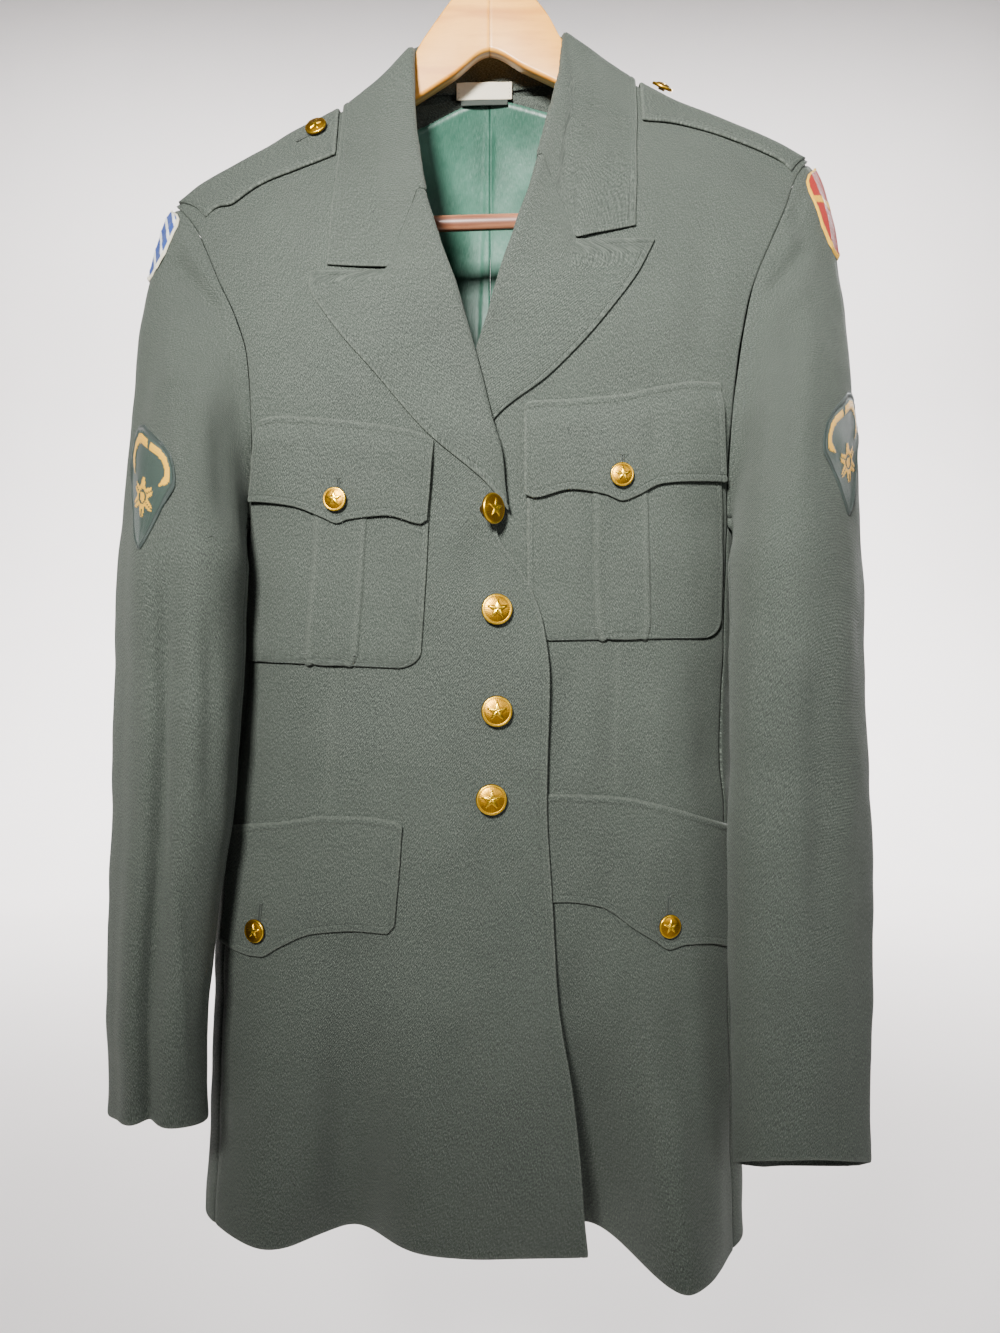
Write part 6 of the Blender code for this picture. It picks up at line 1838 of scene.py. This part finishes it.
def plain(name, colour, rough):
    """Faintly uneven paint, for the floor and the backdrop."""
    look = Look(name, rough)
    cloud = look.noise(look.solid, 2.5, 3, 0.5)
    return look.done(look.mix(look.span(cloud, 0.3, 0.7), colour, tuple(0.97 * c for c in colour)))


LOOKS = {
    "wool": wool(),
    "thread": thread("wool_thread", (0.045, 0.055, 0.045), (0.120, 0.140, 0.115)),
    "thread_dark": thread("hole_thread", (0.018, 0.024, 0.018), (0.050, 0.060, 0.048)),
    "satin": satin(),
    "gold": gold(),
    "wood": timber("hanger_wood", (0.56, 0.20, 0.014), (0.86, 0.40, 0.05), 0.006, 0.42),
    "bar": timber("bar_wood", (0.17, 0.06, 0.03), (0.34, 0.14, 0.07), 0.004, 0.40),
    "steel": steel(),
    "label": tape("label_weave", (0.52, 0.47, 0.35), (0.78, 0.73, 0.60), (0.60, 0.53, 0.38)),
    # The dark weave is the hanging tab's own colour, and also the painted shade in buttonhole slits and pin
    # holes.
    "dark": tape("tab_weave_and_painted_shade", (0.012, 0.018, 0.014), (0.045, 0.055, 0.045), (0.03, 0.04, 0.03)),
    "cream_edge": embroidery("cream_edge", (0.42, 0.38, 0.26), (0.74, 0.70, 0.55), True),
    "blue_field": embroidery("blue_field", (0.008, 0.025, 0.14), (0.02, 0.07, 0.32)),
    "white_field": embroidery("white_field", (0.55, 0.55, 0.53), (0.80, 0.80, 0.78)),
    "yellow_edge": embroidery("yellow_edge", (0.50, 0.24, 0.003), (0.84, 0.46, 0.006), True),
    "red_field": embroidery("red_field", (0.20, 0.006, 0.003), (0.42, 0.014, 0.007)),
    "dark_edge": embroidery("dark_edge", (0.004, 0.010, 0.008), (0.018, 0.032, 0.025), True),
    "green_field": embroidery("green_field", (0.010, 0.024, 0.017), (0.028, 0.050, 0.038)),
    "gold_thread": embroidery("gold_thread", (0.50, 0.24, 0.003), (0.84, 0.46, 0.006)),
}
BADGE_LOOKS = {
    "shoulder_badge_left": ("cream_edge", "blue_field", "white_field"),
    "shoulder_badge_right": ("yellow_edge", "red_field"),
    "rank_badge_left": ("dark_edge", "green_field", "gold_thread"),
    "rank_badge_right": ("dark_edge", "green_field", "gold_thread"),
}


def build():
    front("front_left", LEFT)
    front("front_right", RIGHT)
    back("back_left", LEFT)
    back("back_right", RIGHT)
    for word, side in (("left", LEFT), ("right", RIGHT)):
        side_panel("side_" + word, side)
        sleeve("top_sleeve_" + word, side, *SLEEVE_SEAMS, 66, 170)
        sleeve("under_sleeve_" + word, side, SLEEVE_SEAMS[1] - 1, SLEEVE_SEAMS[0], 30, 130)
        lining("lining_" + word, side)
        lapel("lapel_" + word, side)
        hanger_arm("hanger_arm_" + word, side)
        epaulette("epaulette_" + word, side)
    collar("collar")
    patch("chest_pocket_left", LEFT, PATCH_LEFT, PLEATS_LEFT, ("body_left", "pocket_left"))
    patch("chest_pocket_right", RIGHT, PATCH_RIGHT, PLEATS_RIGHT, ("body_right", "pocket_right"))
    flap("chest_flap_left", LEFT, CHEST_FLAP_LEFT, OVER_CHEST, ("body_left", "flap_left"))
    flap("chest_flap_right", RIGHT, CHEST_FLAP_RIGHT, OVER_CHEST, ("body_right", "flap_right"))
    flap("lower_flap_left", LEFT, LOWER_FLAP_LEFT, OVER_SKIRT, ("body_left", "skirt_flap_left"))
    flap("lower_flap_right", RIGHT, LOWER_FLAP_RIGHT, OVER_SKIRT, ("body_right", "skirt_flap_right"))
    for row in BUTTONS:
        flat_button(*row, ("body_left" if row[1] == LEFT else "body_right",))
    for name, x, drop in SHOULDER_BUTTONS:
        shoulder_button(name, x, drop)
    for row in BUTTONHOLES:
        buttonhole(*row)
    for row in MARKS:
        pin_hole(*row)
    snag("snag", LEFT, 212.5, 536.0, 3.2)
    badge("shoulder_badge_left", LEFT, 0.50, 0.20, SHIELD, 0.8, stripes_left, "badge_blue")
    badge("shoulder_badge_right", RIGHT, 0.50, 0.23, SHIELD, 1.0, stripes_right, "badge_red")
    badge("rank_badge_left", LEFT, 0.40, 0.80, RANK, 1.0, rank, "rank")
    badge("rank_badge_right", RIGHT, 0.44, 0.76, RANK, 1.0, rank, "rank")
    strip("label", -24.5, 16.2, -131, -143.5, 22.9, 0.7, "label", 1.2, "label")
    strip("hanging_tab", -21, 13, -144, -147.5, 23.2, 0.9, "dark", 1.2, "hanging_tab")
    ends = np.linspace(-BAR_END, BAR_END, 70)
    bar = np.stack([ends, 0 * ends, BAR_HEIGHT + ends * BAR_SLOPE], axis=-1)
    rod("bar", bar, BAR_RADIUS, "bar", 32, "bar")
    rod("hook", hook_points(), HOOK_RADIUS, "steel", 16, "hook")


def stage():
    """Pale floor that runs up into a pale backdrop."""
    foot = WALL - CURVE
    profile = [(-WALL, FLOOR), (foot, FLOOR)]
    for turn in np.linspace(0.1, 1.5, 20):
        profile.append((foot + CURVE * math.sin(turn), FLOOR + CURVE * (1 - math.cos(turn))))
    profile += [(WALL, FLOOR + CURVE + 0.1), (WALL, WALL_TOP)]
    mesh = bpy.data.meshes.new("backdrop")
    points = [(x, y, z) for y, z in profile for x in (-WALL_HALF, WALL_HALF)]
    mesh.from_pydata(points, [], [(2 * n, 2 * n + 1, 2 * n + 3, 2 * n + 2) for n in range(len(profile) - 1)])
    mesh.polygons.foreach_set("use_smooth", [True] * (len(profile) - 1))
    item = bpy.data.objects.new("backdrop", mesh)
    item.data.materials.append(plain("backdrop_paper", (0.80, 0.765, 0.755), 0.8))
    bpy.context.collection.objects.link(item)


def area_light(name, spot, size, power, colour, aim=(0.0, 0.0, -0.45), beam=180):
    """Soft light that faces a spot, the coat's middle unless another is named."""
    light = bpy.data.lights.new(name, "AREA")
    light.shape = "RECTANGLE"
    light.size, light.size_y = size
    light.energy = power
    light.color = colour
    light.spread = math.radians(beam)
    item = bpy.data.objects.new(name, light)
    item.location = spot
    item.rotation_euler = (Vector(aim) - Vector(spot)).to_track_quat("-Z", "Y").to_euler()
    bpy.context.collection.objects.link(item)


def studio():
    world = bpy.data.worlds.new("soft_room")
    world.use_nodes = True
    sky = world.node_tree.nodes["Background"]
    sky.inputs["Color"].default_value = (0.95, 0.96, 1.0, 1.0)
    sky.inputs["Strength"].default_value = 0.13
    bpy.context.scene.world = world
    area_light("key", (-0.38, -1.62, 0.16), (0.28, 0.28), 11.0, (1.0, 0.99, 0.97), (0.05, 0.0, -0.28), 52)
    area_light("fill", (1.3, -1.6, 0.1), (0.8, 0.8), 3.0, (0.95, 0.97, 1.0), (0.05, 0.0, -0.35), 90)
    area_light("top", (0.1, -0.75, 0.95), (1.0, 0.5), 1.2, (1.0, 1.0, 1.0))
    area_light("wall", (0.0, 2.6, 3.2), (6.0, 2.0), 560.0, (1.0, 0.985, 0.985), (0.0, 4.2, -1.0), 110)
    area_light("behind", (0.9, 1.9, 0.5), (1.4, 1.4), 22.0, (1.0, 1.0, 1.0), (0.0, 0.0, -0.45), 60)
    camera = bpy.data.cameras.new("camera")
    camera.sensor_fit = "VERTICAL"
    camera.sensor_height = 36.0
    camera.lens = PIXELS / (2 * MIDDLE[1]) * 36.0
    item = bpy.data.objects.new("camera", camera)
    item.location = [k * MM for k in EYE]
    item.rotation_euler = (math.radians(90), 0, 0)
    bpy.context.collection.objects.link(item)
    bpy.context.scene.camera = item


build()
stage()
studio()
